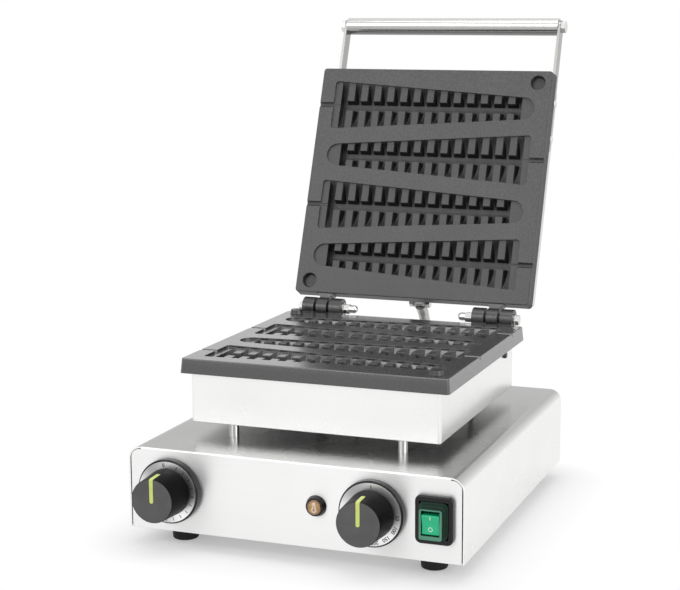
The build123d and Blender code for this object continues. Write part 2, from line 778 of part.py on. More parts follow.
# Heating elements: a tube in four runs, brazed to the back of each plate
element_level = element_gap + element_radius
run_ys = [(n - 1.5) * element_pitch for n in range(4)]
run_points = [
    (side * element_reach, y)
    for y, sides in zip(run_ys, ((1, -1), (-1, 1), (1, -1), (-1, 1)))
    for side in sides
]
with BuildPart() as lower_element:
    with BuildLine(Plane(origin=(0, box_y, casting_bottom - element_level))) as lower_run:
        FilletPolyline(*run_points, radius=element_bend)
    with BuildSketch(Plane(origin=lower_run.line @ 0, z_dir=lower_run.line % 0)):
        Circle(element_radius)
    sweep()
lower_element.part.label = "lower_element"
export_step(lower_element.part, "parts/lower_element.step")

casting_back = lid_face + casting_depth
with BuildPart() as upper_element:
    with BuildLine(on_lid(0, lid_box_y, casting_back + element_level)) as upper_run:
        FilletPolyline(*run_points, radius=element_bend)
    with BuildSketch(Plane(origin=upper_run.line @ 0, z_dir=upper_run.line % 0)):
        Circle(element_radius)
    sweep()
upper_element.part.label = "upper_element"
export_step(upper_element.part, "parts/upper_element.step")

# Insulation blankets against the outer sheet of both boxes
blanket_size = (box_inner_width - 2 * insulation_margin, box_inner_depth - 2 * insulation_margin)
with BuildPart() as lower_insulation:
    with BuildSketch(Plane.XY.offset(box_bottom + sheet)):
        with Locations((0, box_y)):
            Rectangle(*blanket_size)
            Circle(tube_radius + fit_clearance, mode=Mode.SUBTRACT)
        with Locations(*post_places):
            Circle(insulation_post_hole, mode=Mode.SUBTRACT)
    extrude(amount=insulation_thickness)
lower_insulation.part.label = "lower_insulation"
export_step(lower_insulation.part, "parts/lower_insulation.step")

cover_top = lid_back + cover_height
with BuildPart() as upper_insulation:
    with BuildSketch(on_lid(0, lid_box_y, cover_top - sheet - insulation_thickness)):
        Rectangle(*blanket_size)
    extrude(amount=insulation_thickness)
upper_insulation.part.label = "upper_insulation"
export_step(upper_insulation.part, "parts/upper_insulation.step")

# Lid cover, with holes for the arm screws, the side screws and the wires
arm_screw_ys = [n * arm_screw_pitch + first_arm_screw - plate_depth / 2 + lid_plate_y for n in range(2)]
with BuildPart() as upper_cover:
    with BuildSketch(on_lid(0, lid_box_y, lid_back)):
        RectangleRounded(box_width, box_depth, box_corner)
    extrude(amount=cover_height)
    fillet(upper_cover.faces().sort_by(Axis((0, 0, 0), lid.z_dir))[-1].outer_wire().edges(), box_edge)
    with BuildSketch(on_lid(0, lid_box_y, lid_back)):
        RectangleRounded(box_inner_width, box_inner_depth, box_corner - sheet)
    extrude(amount=cover_height - sheet, mode=Mode.SUBTRACT)
    for x in (-box_width / 2, box_inner_width / 2):
        with BuildSketch(across_lid(x)):
            with Locations(*[(y, bar_rise) for y in arm_screw_ys]):
                Circle(screw_radius + running_clearance)
            with Locations((side_screw_y - hinge_y, lid_back + side_screw_drop)):
                Circle(screw_radius + running_clearance)
        extrude(amount=sheet, mode=Mode.SUBTRACT)
    behind = Plane(origin=lid.from_local_coords((0, cover_rear, hose_end_rise)), x_dir=(1, 0, 0), z_dir=lid.y_dir)
    with BuildSketch(behind):
        Circle(wire_hole_radius)
    extrude(amount=-2 * sheet, mode=Mode.SUBTRACT)
upper_cover.part.label = "upper_cover"
export_step(upper_cover.part, "parts/upper_cover.step")

# Handle: two flat arms on the cover's sides and a tube between their ends
arm_back = arm_tail - plate_depth / 2 + lid_plate_y
with BuildPart() as handle_arms:
    for x in (-box_width / 2 - arm_thickness, box_width / 2):
        with BuildSketch(across_lid(x)):
            with Locations(((arm_back - bar_forward - arm_width / 2) / 2, bar_rise)):
                SlotOverall(arm_back + bar_forward + arm_width / 2, arm_width)
            with Locations((-bar_forward, bar_rise)):
                Circle(bar_bolt_radius + running_clearance, mode=Mode.SUBTRACT)
            with Locations(*[(y, bar_rise) for y in arm_screw_ys]):
                Circle(screw_radius + running_clearance, mode=Mode.SUBTRACT)
        extrude(amount=arm_thickness)
handle_arms.part.label = "handle_arms"
export_step(handle_arms.part, "parts/handle_arms.step")

with BuildPart() as handle_bar:
    with BuildSketch(across_lid(-box_width / 2)):
        with Locations((-bar_forward, bar_rise)):
            Circle(bar_radius)
    extrude(amount=box_width)
    with BuildSketch(across_lid(bar_plug_length - box_width / 2)):
        with Locations((-bar_forward, bar_rise)):
            Circle(bar_radius - bar_wall)
    extrude(amount=box_width - 2 * bar_plug_length, mode=Mode.SUBTRACT)
    with BuildSketch(across_lid(-box_width / 2)):
        with Locations((-bar_forward, bar_rise)):
            Circle(bar_bolt_radius + running_clearance)
    extrude(amount=box_width, mode=Mode.SUBTRACT)
handle_bar.part.label = "handle_bar"
export_step(handle_bar.part, "parts/handle_bar.step")

arm_outside = box_width / 2 + arm_thickness
with BuildPart() as bar_bolts:
    for side in (-1, 1):
        end = Plane(
            origin=lid.from_local_coords((side * arm_outside, -bar_forward, bar_rise)),
            x_dir=lid.y_dir,
            z_dir=(side, 0, 0),
        )
        with BuildSketch(end):
            RegularPolygon(bar_bolt_flats / 2, 6, major_radius=False)
        extrude(amount=bar_bolt_head)
        with BuildSketch(end):
            Circle(bar_bolt_radius)
        extrude(amount=-arm_thickness - bar_plug_length)
bar_bolts.part.label = "bar_bolts"
export_step(bar_bolts.part, "parts/bar_bolts.step")

with BuildPart() as arm_screws:
    for side in (-1, 1):
        for y in arm_screw_ys:
            seat = Plane(
                origin=lid.from_local_coords((side * arm_outside, y, bar_rise)),
                x_dir=lid.y_dir,
                z_dir=(side, 0, 0),
            )
            with BuildSketch(seat):
                Circle(screw_head_radius)
            extrude(amount=screw_head_height)
            with BuildSketch(seat):
                Circle(screw_radius)
            extrude(amount=-screw_length)
    fillet(arm_screws.edges().filter_by(GeomType.CIRCLE).group_by(Axis.X)[0], screw_head_height / 2)
    fillet(arm_screws.edges().filter_by(GeomType.CIRCLE).group_by(Axis.X)[-1], screw_head_height / 2)
arm_screws.part.label = "arm_screws"
export_step(arm_screws.part, "parts/arm_screws.step")

with BuildPart() as arm_nuts:
    for side in (-1, 1):
        for y in arm_screw_ys:
            seat = Plane(
                origin=lid.from_local_coords((side * box_inner_width / 2, y, bar_rise)),
                x_dir=lid.y_dir,
                z_dir=(-side, 0, 0),
            )
            with BuildSketch(seat):
                RegularPolygon(nut_flats / 2, 6, major_radius=False)
                Circle(screw_radius + running_clearance, mode=Mode.SUBTRACT)
            extrude(amount=nut_height)
arm_nuts.part.label = "arm_nuts"
export_step(arm_nuts.part, "parts/arm_nuts.step")

# Hinge pins: a hex bolt from outside through both lugs and the knuckle, with an acorn nut inside
lug_outside = hinge_spacing / 2 + lug_offset + lug_width / 2
lug_inside = hinge_spacing / 2 - lug_offset - lug_width / 2


def hinge_side(side, distance):
    """Returns the plane across a hinge axis at a distance from the middle, its Z away from it."""
    return Plane(origin=(side * distance, hinge_y, hinge_z), x_dir=(0, 1, 0), z_dir=(side, 0, 0))


with BuildPart() as hinge_bolts:
    for side in (-1, 1):
        with BuildSketch(hinge_side(side, lug_outside + washer_thickness)):
            RegularPolygon(bolt_flats / 2, 6, major_radius=False)
        extrude(amount=bolt_head_height)
        with BuildSketch(hinge_side(side, lug_outside + washer_thickness)):
            Circle(bolt_radius)
        extrude(amount=-(lug_outside - lug_inside + 2 * washer_thickness + acorn_bore_depth - fit_clearance))
hinge_bolts.part.label = "hinge_bolts"
export_step(hinge_bolts.part, "parts/hinge_bolts.step")

with BuildPart() as hinge_nuts:
    for side in (-1, 1):
        with BuildSketch(hinge_side(side, lug_inside - washer_thickness)):
            RegularPolygon(bolt_flats / 2, 6, major_radius=False)
        extrude(amount=-acorn_hex_height)
        with BuildSketch(hinge_side(side, lug_inside - washer_thickness - acorn_hex_height)):
            Circle(acorn_dome_radius)
        extrude(amount=acorn_dome_radius - acorn_dome_height)
        dome_x = lug_inside - washer_thickness - acorn_hex_height - acorn_dome_height + acorn_dome_radius
        with Locations((side * dome_x, hinge_y, hinge_z)):
            Sphere(acorn_dome_radius)
        with BuildSketch(hinge_side(side, lug_inside - washer_thickness)):
            Circle(bolt_radius + running_clearance)
        extrude(amount=-acorn_bore_depth, mode=Mode.SUBTRACT)
hinge_nuts.part.label = "hinge_nuts"
export_step(hinge_nuts.part, "parts/hinge_nuts.step")

with BuildPart() as hinge_washers:
    for side in (-1, 1):
        for inner in (lug_inside - washer_thickness, lug_outside):
            with BuildSketch(hinge_side(side, inner)):
                Circle(washer_radius)
                Circle(bolt_radius + running_clearance, mode=Mode.SUBTRACT)
            extrude(amount=washer_thickness)
hinge_washers.part.label = "hinge_washers"
export_step(hinge_washers.part, "parts/hinge_washers.step")

with BuildPart() as hinge_spacers:
    for side in (-1, 1):
        for inner in (-knuckle_width / 2 - knuckle_gap, knuckle_width / 2):
            with BuildSketch(hinge_side(side, hinge_spacing / 2 + inner + spacer_play)):
                Circle(spacer_radius)
                Circle(bolt_radius + running_clearance, mode=Mode.SUBTRACT)
            extrude(amount=knuckle_gap - 2 * spacer_play)
hinge_spacers.part.label = "hinge_spacers"
export_step(hinge_spacers.part, "parts/hinge_spacers.step")

# Bracket on the back wall of the lid cover: a bent strip whose ears hold the hose's barrel between two screws
bracket_middle = (bracket_start + bracket_end) / 2
bracket_outside = bracket_gap / 2 + bracket_sheet
with BuildPart() as hose_bracket:
    for x in (-bracket_outside, bracket_gap / 2):
        with BuildSketch(across_lid(x)):
            with Locations((cover_rear + bracket_depth / 2, bracket_middle)):
                Rectangle(bracket_depth, bracket_end - bracket_start)
            fillet(vertices().group_by(Axis.X)[-1], bracket_corner)
            with Locations((cover_rear + bracket_reach, hose_end_rise)):
                Circle(bracket_screw_radius + running_clearance, mode=Mode.SUBTRACT)
        extrude(amount=bracket_sheet)
    web = Plane(origin=lid.from_local_coords((0, cover_rear, bracket_middle)), x_dir=(1, 0, 0), z_dir=lid.y_dir)
    with BuildSketch(web):
        Rectangle(2 * bracket_outside, bracket_end - bracket_start)
        with Locations((0, bracket_middle - hose_end_rise)):
            Circle(wire_hole_radius, mode=Mode.SUBTRACT)
    extrude(amount=bracket_sheet)
hose_bracket.part.label = "hose_bracket"
export_step(hose_bracket.part, "parts/hose_bracket.step")


def bracket_side(side, distance):
    """Returns the plane across the bracket's screws at a distance from the middle, its Z away from it."""
    place = lid.from_local_coords((side * distance, cover_rear + bracket_reach, hose_end_rise))
    return Plane(origin=place, x_dir=lid.y_dir, z_dir=(side, 0, 0))


with BuildPart() as bracket_screws:
    for side in (-1, 1):
        with BuildSketch(bracket_side(side, bracket_outside)):
            RegularPolygon(bracket_flats / 2, 6, major_radius=False)
        extrude(amount=bracket_head)
        with BuildSketch(bracket_side(side, bracket_outside)):
            Circle(bracket_screw_radius)
        extrude(amount=-bracket_screw_length)
bracket_screws.part.label = "bracket_screws"
export_step(bracket_screws.part, "parts/bracket_screws.step")

# Wire hose: from its gland on the heater box up to the barrel, as it hangs with the lid open
barrel = lid.from_local_coords((0, cover_rear + bracket_reach, hose_end_rise))
hose_top_y = barrel.Y + hose_barrel_radius * sin(radians(hose_lean))
hose_top_z = barrel.Z - hose_barrel_radius * cos(radians(hose_lean))
hose_corner_y = hose_top_y + (hose_top_z - hose_gland_z) * tan(radians(hose_lean))
with BuildPart() as hose_barrel:
    barrel_half = bracket_gap / 2 - hose_barrel_play
    with BuildSketch(bracket_side(1, -barrel_half)):
        Circle(hose_barrel_radius)
    extrude(amount=2 * barrel_half)
    with BuildSketch(bracket_side(1, -barrel_half)):
        Circle(bracket_screw_radius + running_clearance)
    extrude(amount=2 * barrel_half, mode=Mode.SUBTRACT)
    upward = (0, -sin(radians(hose_lean)), cos(radians(hose_lean)))
    with BuildSketch(Plane(origin=(0, hose_top_y, hose_top_z), z_dir=upward)):
        Circle(hose_barrel_bore)
    extrude(amount=2 * hose_barrel_radius, mode=Mode.SUBTRACT)
hose_barrel.part.label = "hose_barrel"
export_step(hose_barrel.part, "parts/hose_barrel.step")

with BuildPart() as wire_hose:
    with BuildLine(Plane.YZ) as hose_run:
        FilletPolyline(
            (box_rear_y - sheet, hose_gland_z),
            (hose_corner_y, hose_gland_z),
            (hose_top_y, hose_top_z),
            radius=hose_bend,
        )
    with BuildSketch(Plane(origin=hose_run.line @ 0, z_dir=hose_run.line % 0)):
        Circle(hose_radius)
    sweep()
wire_hose.part.label = "wire_hose"
export_step(wire_hose.part, "parts/wire_hose.step")

with BuildPart() as hose_gland:
    with BuildSketch(Plane.XZ.offset(-box_rear_y)):
        with Locations((0, hose_gland_z)):
            Circle(hose_gland_radius)
            Circle(hose_radius + running_clearance, mode=Mode.SUBTRACT)
    extrude(amount=-hose_gland_length)
hose_gland.part.label = "hose_gland"
export_step(hose_gland.part, "parts/hose_gland.step")

# Timer and thermostat: a body behind the panel, a bezel with a scale ring, and a knob on a spindle.
# The timer is modelled first. The thermostat's bezel, scale and knob are the same, further right.
to_thermostat = thermostat_x - timer_x
with BuildPart() as timer_body:
    with BuildSketch(control_plane(timer_x).offset(-sheet)):
        Rectangle(timer_size[0], timer_size[1])
    extrude(amount=-timer_size[2])
    with BuildSketch(control_plane(timer_x).offset(-sheet)):
        Circle(bush_radius)
    extrude(amount=sheet + bush_reach)
    with BuildSketch(control_plane(timer_x).offset(bush_reach)):
        Circle(spindle_radius + running_clearance)
    extrude(amount=-(bush_reach + sheet + spindle_tail + fit_clearance), mode=Mode.SUBTRACT)
timer_body.part.label = "timer_body"
export_step(timer_body.part, "parts/timer_body.step")

with BuildPart() as thermostat_body:
    with BuildSketch(control_plane(thermostat_x).offset(-sheet)):
        Rectangle(thermostat_size[0], thermostat_size[1])
    extrude(amount=-thermostat_size[2])
    with BuildSketch(control_plane(thermostat_x).offset(-sheet)):
        Circle(bush_radius)
    extrude(amount=sheet + bush_reach)
    with BuildSketch(control_plane(thermostat_x).offset(bush_reach)):
        Circle(spindle_radius + running_clearance)
    extrude(amount=-(bush_reach + sheet + spindle_tail + fit_clearance), mode=Mode.SUBTRACT)
thermostat_body.part.label = "thermostat_body"
export_step(thermostat_body.part, "parts/thermostat_body.step")

with BuildPart() as timer_bezel:
    with BuildSketch(control_plane(timer_x)):
        Circle(bezel_radius)
    extrude(amount=bezel_height)
    fillet(timer_bezel.edges().filter_by(GeomType.CIRCLE).group_by(Axis.Y)[0], bezel_edge)
    with BuildSketch(control_plane(timer_x)):
        Circle(bush_radius + fit_clearance)
    extrude(amount=bezel_height, mode=Mode.SUBTRACT)
timer_bezel.part.label = "timer_bezel"
export_step(timer_bezel.part, "parts/timer_bezel.step")

with BuildPart() as thermostat_bezel:
    with Locations((to_thermostat, 0, 0)):
        add(timer_bezel.part)
thermostat_bezel.part.label = "thermostat_bezel"
export_step(thermostat_bezel.part, "parts/thermostat_bezel.step")

with BuildPart() as timer_scale:
    with BuildSketch(control_plane(timer_x).offset(bezel_height)):
        Circle(scale_radius)
        Circle(scale_inner_radius, mode=Mode.SUBTRACT)
    extrude(amount=scale_thickness)
timer_scale.part.label = "timer_scale"
export_step(timer_scale.part, "parts/timer_scale.step")

with BuildPart() as thermostat_scale:
    with Locations((to_thermostat, 0, 0)):
        add(timer_scale.part)
thermostat_scale.part.label = "thermostat_scale"
export_step(thermostat_scale.part, "parts/thermostat_scale.step")

knob_back = bezel_height + scale_thickness + knob_lift
knob_taper = degrees(atan((knob_base_radius - knob_face_radius) / (knob_reach - knob_back)))
with BuildPart() as timer_pointer:
    with BuildSketch(control_plane(timer_x).offset(knob_back)):
        Circle(knob_base_radius + pointer_proud)
    extrude(amount=knob_reach + pointer_proud - knob_back, taper=knob_taper)
    fillet(timer_pointer.edges().filter_by(GeomType.CIRCLE).group_by(Axis.Y)[0], knob_edge)
    with BuildSketch(control_plane(timer_x).offset(knob_back)):
        Circle(knob_base_radius - pointer_inlay)
    extrude(amount=knob_reach - pointer_inlay - knob_back, taper=knob_taper, mode=Mode.SUBTRACT)
    with BuildSketch(control_plane(timer_x).offset(knob_reach - pointer_side)):
        Rectangle(pointer_width, 2 * knob_base_radius, align=(Align.CENTER, Align.MIN))
        Circle(pointer_width / 2)
    extrude(amount=knob_reach, mode=Mode.INTERSECT)
timer_pointer.part.label = "timer_pointer"
export_step(timer_pointer.part, "parts/timer_pointer.step")

with BuildPart() as timer_knob:
    with BuildSketch(control_plane(timer_x).offset(knob_back)):
        Circle(knob_base_radius)
    extrude(amount=knob_reach - knob_back, taper=knob_taper)
    fillet(timer_knob.edges().filter_by(GeomType.CIRCLE).group_by(Axis.Y)[0], knob_edge)
    with BuildSketch(control_plane(timer_x).offset(knob_back)):
        Circle(knob_cavity_radius)
        Circle(knob_hub_radius, mode=Mode.SUBTRACT)
    extrude(amount=knob_cavity_depth, mode=Mode.SUBTRACT)
    with BuildSketch(control_plane(timer_x).offset(knob_back)):
        Circle(spindle_radius + running_clearance)
    extrude(amount=spindle_reach + fit_clearance - knob_back, mode=Mode.SUBTRACT)
    add(timer_pointer.part, mode=Mode.SUBTRACT)
timer_knob.part.label = "timer_knob"
export_step(timer_knob.part, "parts/timer_knob.step")

with BuildPart() as timer_spindle:
    with BuildSketch(control_plane(timer_x).offset(-sheet - spindle_tail)):
        Circle(spindle_radius)
    extrude(amount=sheet + spindle_tail + spindle_reach)
timer_spindle.part.label = "timer_spindle"
export_step(timer_spindle.part, "parts/timer_spindle.step")

with BuildPart() as thermostat_pointer:
    with Locations((to_thermostat, 0, 0)):
        add(timer_pointer.part)
thermostat_pointer.part.label = "thermostat_pointer"
export_step(thermostat_pointer.part, "parts/thermostat_pointer.step")

with BuildPart() as thermostat_knob:
    with Locations((to_thermostat, 0, 0)):
        add(timer_knob.part)
thermostat_knob.part.label = "thermostat_knob"
export_step(thermostat_knob.part, "parts/thermostat_knob.step")

with BuildPart() as thermostat_spindle:
    with Locations((to_thermostat, 0, 0)):
        add(timer_spindle.part)
thermostat_spindle.part.label = "thermostat_spindle"
export_step(thermostat_spindle.part, "parts/thermostat_spindle.step")

# Pilot lamp
with BuildPart() as lamp_bezel:
    with BuildSketch(control_plane(lamp_x)):
        Circle(lamp_radius)
    extrude(amount=lamp_height, taper=lamp_taper)
    fillet(lamp_bezel.edges().filter_by(GeomType.CIRCLE).group_by(Axis.Y)[0], lamp_edge)
    with BuildSketch(control_plane(lamp_x)):
        Circle(lens_radius + running_clearance)
    extrude(amount=lamp_height, mode=Mode.SUBTRACT)
lamp_bezel.part.label = "lamp_bezel"
export_step(lamp_bezel.part, "parts/lamp_bezel.step")

with BuildPart() as lamp_lens:
    with BuildSketch(control_plane(lamp_x)):
        Circle(lens_radius)
    extrude(amount=lens_height)
    fillet(lamp_lens.edges().filter_by(GeomType.CIRCLE).group_by(Axis.Y)[0], lens_edge)
lamp_lens.part.label = "lamp_lens"
export_step(lamp_lens.part, "parts/lamp_lens.step")

with BuildPart() as lamp_body:
    with BuildSketch(control_plane(lamp_x)):
        Circle(lamp_body_radius)
    extrude(amount=-lamp_body_length)
lamp_body.part.label = "lamp_body"
export_step(lamp_body.part, "parts/lamp_body.step")

# Rocker switch: bezel, stepped rubber boot, body with the pivot bores, and the rocker, bottom pressed in
opening_width = rocker_width + 2 * rocker_play
opening_height = 2 * (rocker_half_height + rocker_sweep)
with BuildPart() as switch_frame:
    with BuildSketch(control_plane(switch_x)):
        RectangleRounded(*switch_bezel, switch_corner)
    extrude(amount=switch_bezel_height)
    fillet(switch_frame.faces().sort_by(Axis.Y)[0].outer_wire().edges(), switch_edge)
    with BuildSketch(control_plane(switch_x)):
        Rectangle(boot_size[0] + 2 * fit_clearance, boot_size[1] + 2 * fit_clearance)
    extrude(amount=switch_bezel_height, mode=Mode.SUBTRACT)
switch_frame.part.label = "switch_frame"
export_step(switch_frame.part, "parts/switch_frame.step")

boot_top = boot_base + (boot_steps - 1) * boot_rise
with BuildPart() as switch_boot:
    for n in range(boot_steps):
        drop = boot_drop * n / (boot_steps - 1)
        with BuildSketch(control_plane(switch_x)):
            with Locations((0, -drop)):
                RectangleRounded(boot_size[0] - 2 * n * boot_step, boot_size[1] - 2 * n * boot_step, boot_corner - n)
        extrude(amount=boot_base + n * boot_rise)
    with BuildSketch(control_plane(switch_x)):
        Rectangle(opening_width, opening_height)
    extrude(amount=boot_top, mode=Mode.SUBTRACT)
switch_boot.part.label = "switch_boot"
export_step(switch_boot.part, "parts/switch_boot.step")

pivot_half = rocker_width / 2 + pivot_length
pivot_place = Location((switch_x, front_y + pivot_depth, control_z), (0, 90, 0))
with BuildPart() as switch_body:
    with BuildSketch(control_plane(switch_x)):
        Rectangle(switch_cutout[0] - 2 * fit_clearance, switch_cutout[1] - 2 * fit_clearance)
    extrude(amount=-switch_body_depth)
    with BuildSketch(control_plane(switch_x)):
        Rectangle(opening_width, opening_height)
    extrude(amount=-well_depth, mode=Mode.SUBTRACT)
    with Locations(pivot_place):
        Cylinder(pivot_radius + running_clearance, 2 * (pivot_half + pivot_end_play), mode=Mode.SUBTRACT)
    with BuildSketch(control_plane(switch_x).offset(-switch_body_depth)):
        with GridLocations(tab_pitch, tab_pitch, 2, 2):
            Rectangle(tab_width, tab_thickness)
    extrude(amount=-tab_length)
switch_body.part.label = "switch_body"
export_step(switch_body.part, "parts/switch_body.step")

rocker_plane = control_plane(switch_x).offset(-pivot_depth).rotated((rocker_throw, 0, 0))
with BuildPart() as rocker:
    side = Plane(origin=rocker_plane.from_local_coords((-rocker_width / 2, 0, 0)), x_dir=rocker_plane.y_dir, z_dir=(1, 0, 0))
    with BuildSketch(side):
        Polygon(
            (-rocker_half_height, -rocker_skirt),
            (rocker_half_height, -rocker_skirt),
            (rocker_half_height, rocker_end + pivot_depth),
            (0, rocker_middle + pivot_depth),
            (-rocker_half_height, rocker_end + pivot_depth),
            align=None,
        )
        tips = vertices().sort_by(Axis.Y)
        fillet(tips[-2:], rocker_edge)
        Circle(rocker_hub)
    extrude(amount=rocker_width)
    with Locations(pivot_place):
        Cylinder(pivot_radius, 2 * pivot_half)
rocker.part.label = "rocker"
export_step(rocker.part, "parts/rocker.step")

# Terminal block on the bottom plate, near the cord inlet
with BuildPart() as terminal_block:
    with Locations((0, rear_y - terminal_set_back, foot_height + sheet)):
        Box(*terminal_size, align=(Align.CENTER, Align.CENTER, Align.MIN))
terminal_block.part.label = "terminal_block"
export_step(terminal_block.part, "parts/terminal_block.step")

print("hinge axis", hinge_y, hinge_z)
print("front", front_y, "rear", rear_y, "controls at", control_z)
print("cord gland mouth", cord_inlet_x, rear_y + cord_gland_length, cord_inlet_z)
print("heater box middle", box_y, "plate top", plate_top)
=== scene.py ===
import json
import math

import bmesh
import bpy
from mathutils import Matrix, Vector
from mathutils.bvhtree import BVHTree


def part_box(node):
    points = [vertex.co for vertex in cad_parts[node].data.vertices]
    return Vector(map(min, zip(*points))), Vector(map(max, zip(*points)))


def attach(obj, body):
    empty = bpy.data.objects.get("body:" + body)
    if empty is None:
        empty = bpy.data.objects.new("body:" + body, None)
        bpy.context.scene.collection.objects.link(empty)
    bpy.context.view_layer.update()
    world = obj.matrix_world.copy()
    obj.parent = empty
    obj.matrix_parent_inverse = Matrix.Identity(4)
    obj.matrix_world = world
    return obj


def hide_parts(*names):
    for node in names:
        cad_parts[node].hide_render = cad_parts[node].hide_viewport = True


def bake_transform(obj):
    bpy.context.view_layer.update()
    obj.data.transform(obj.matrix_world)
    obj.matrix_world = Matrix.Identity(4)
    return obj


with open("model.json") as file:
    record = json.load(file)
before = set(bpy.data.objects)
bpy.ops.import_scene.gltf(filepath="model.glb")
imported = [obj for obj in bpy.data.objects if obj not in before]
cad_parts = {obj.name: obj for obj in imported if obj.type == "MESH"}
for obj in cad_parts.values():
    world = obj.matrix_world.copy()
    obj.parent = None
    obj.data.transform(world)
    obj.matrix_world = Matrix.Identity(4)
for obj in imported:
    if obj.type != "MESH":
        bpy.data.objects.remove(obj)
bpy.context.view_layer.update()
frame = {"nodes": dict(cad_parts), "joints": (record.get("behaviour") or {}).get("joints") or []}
nodes = frame["nodes"]
scene = bpy.context.scene
mm = 0.001

# Places that the pieces share, in metres
front_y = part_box("front_panel")[0].y
joints = {j["name"]: j for j in frame["joints"]}
hinge = Vector(joints["lid_hinge"]["pos_m"])
control_z = joints["timer_turn"]["pos_m"][2]
timer_x = joints["timer_turn"]["pos_m"][0]
thermostat_x = joints["thermostat_turn"]["pos_m"][0]
switch_x = joints["rocker_tilt"]["pos_m"][0]
lens_low, lens_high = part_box("lamp_lens")
lamp_x = (lens_low.x + lens_high.x) / 2
lid_turn = math.radians(joints["lid_hinge"]["range_deg"][1])
lid_back_way = Vector((0, math.cos(lid_turn), -math.sin(lid_turn)))
lid_up_way = Vector((0, math.sin(lid_turn), math.cos(lid_turn)))


def on_lid(x, y, z):
    """The place that is at x, y, z from the hinge axis, in the lid's own directions."""
    return hinge + Vector((x, 0, 0)) + lid_back_way * y + lid_up_way * z


def on_panel(x, up, out):
    """The place at x on the front panel, up from the height of the controls and out of the panel."""
    return Vector((x, front_y - out, control_z + up))


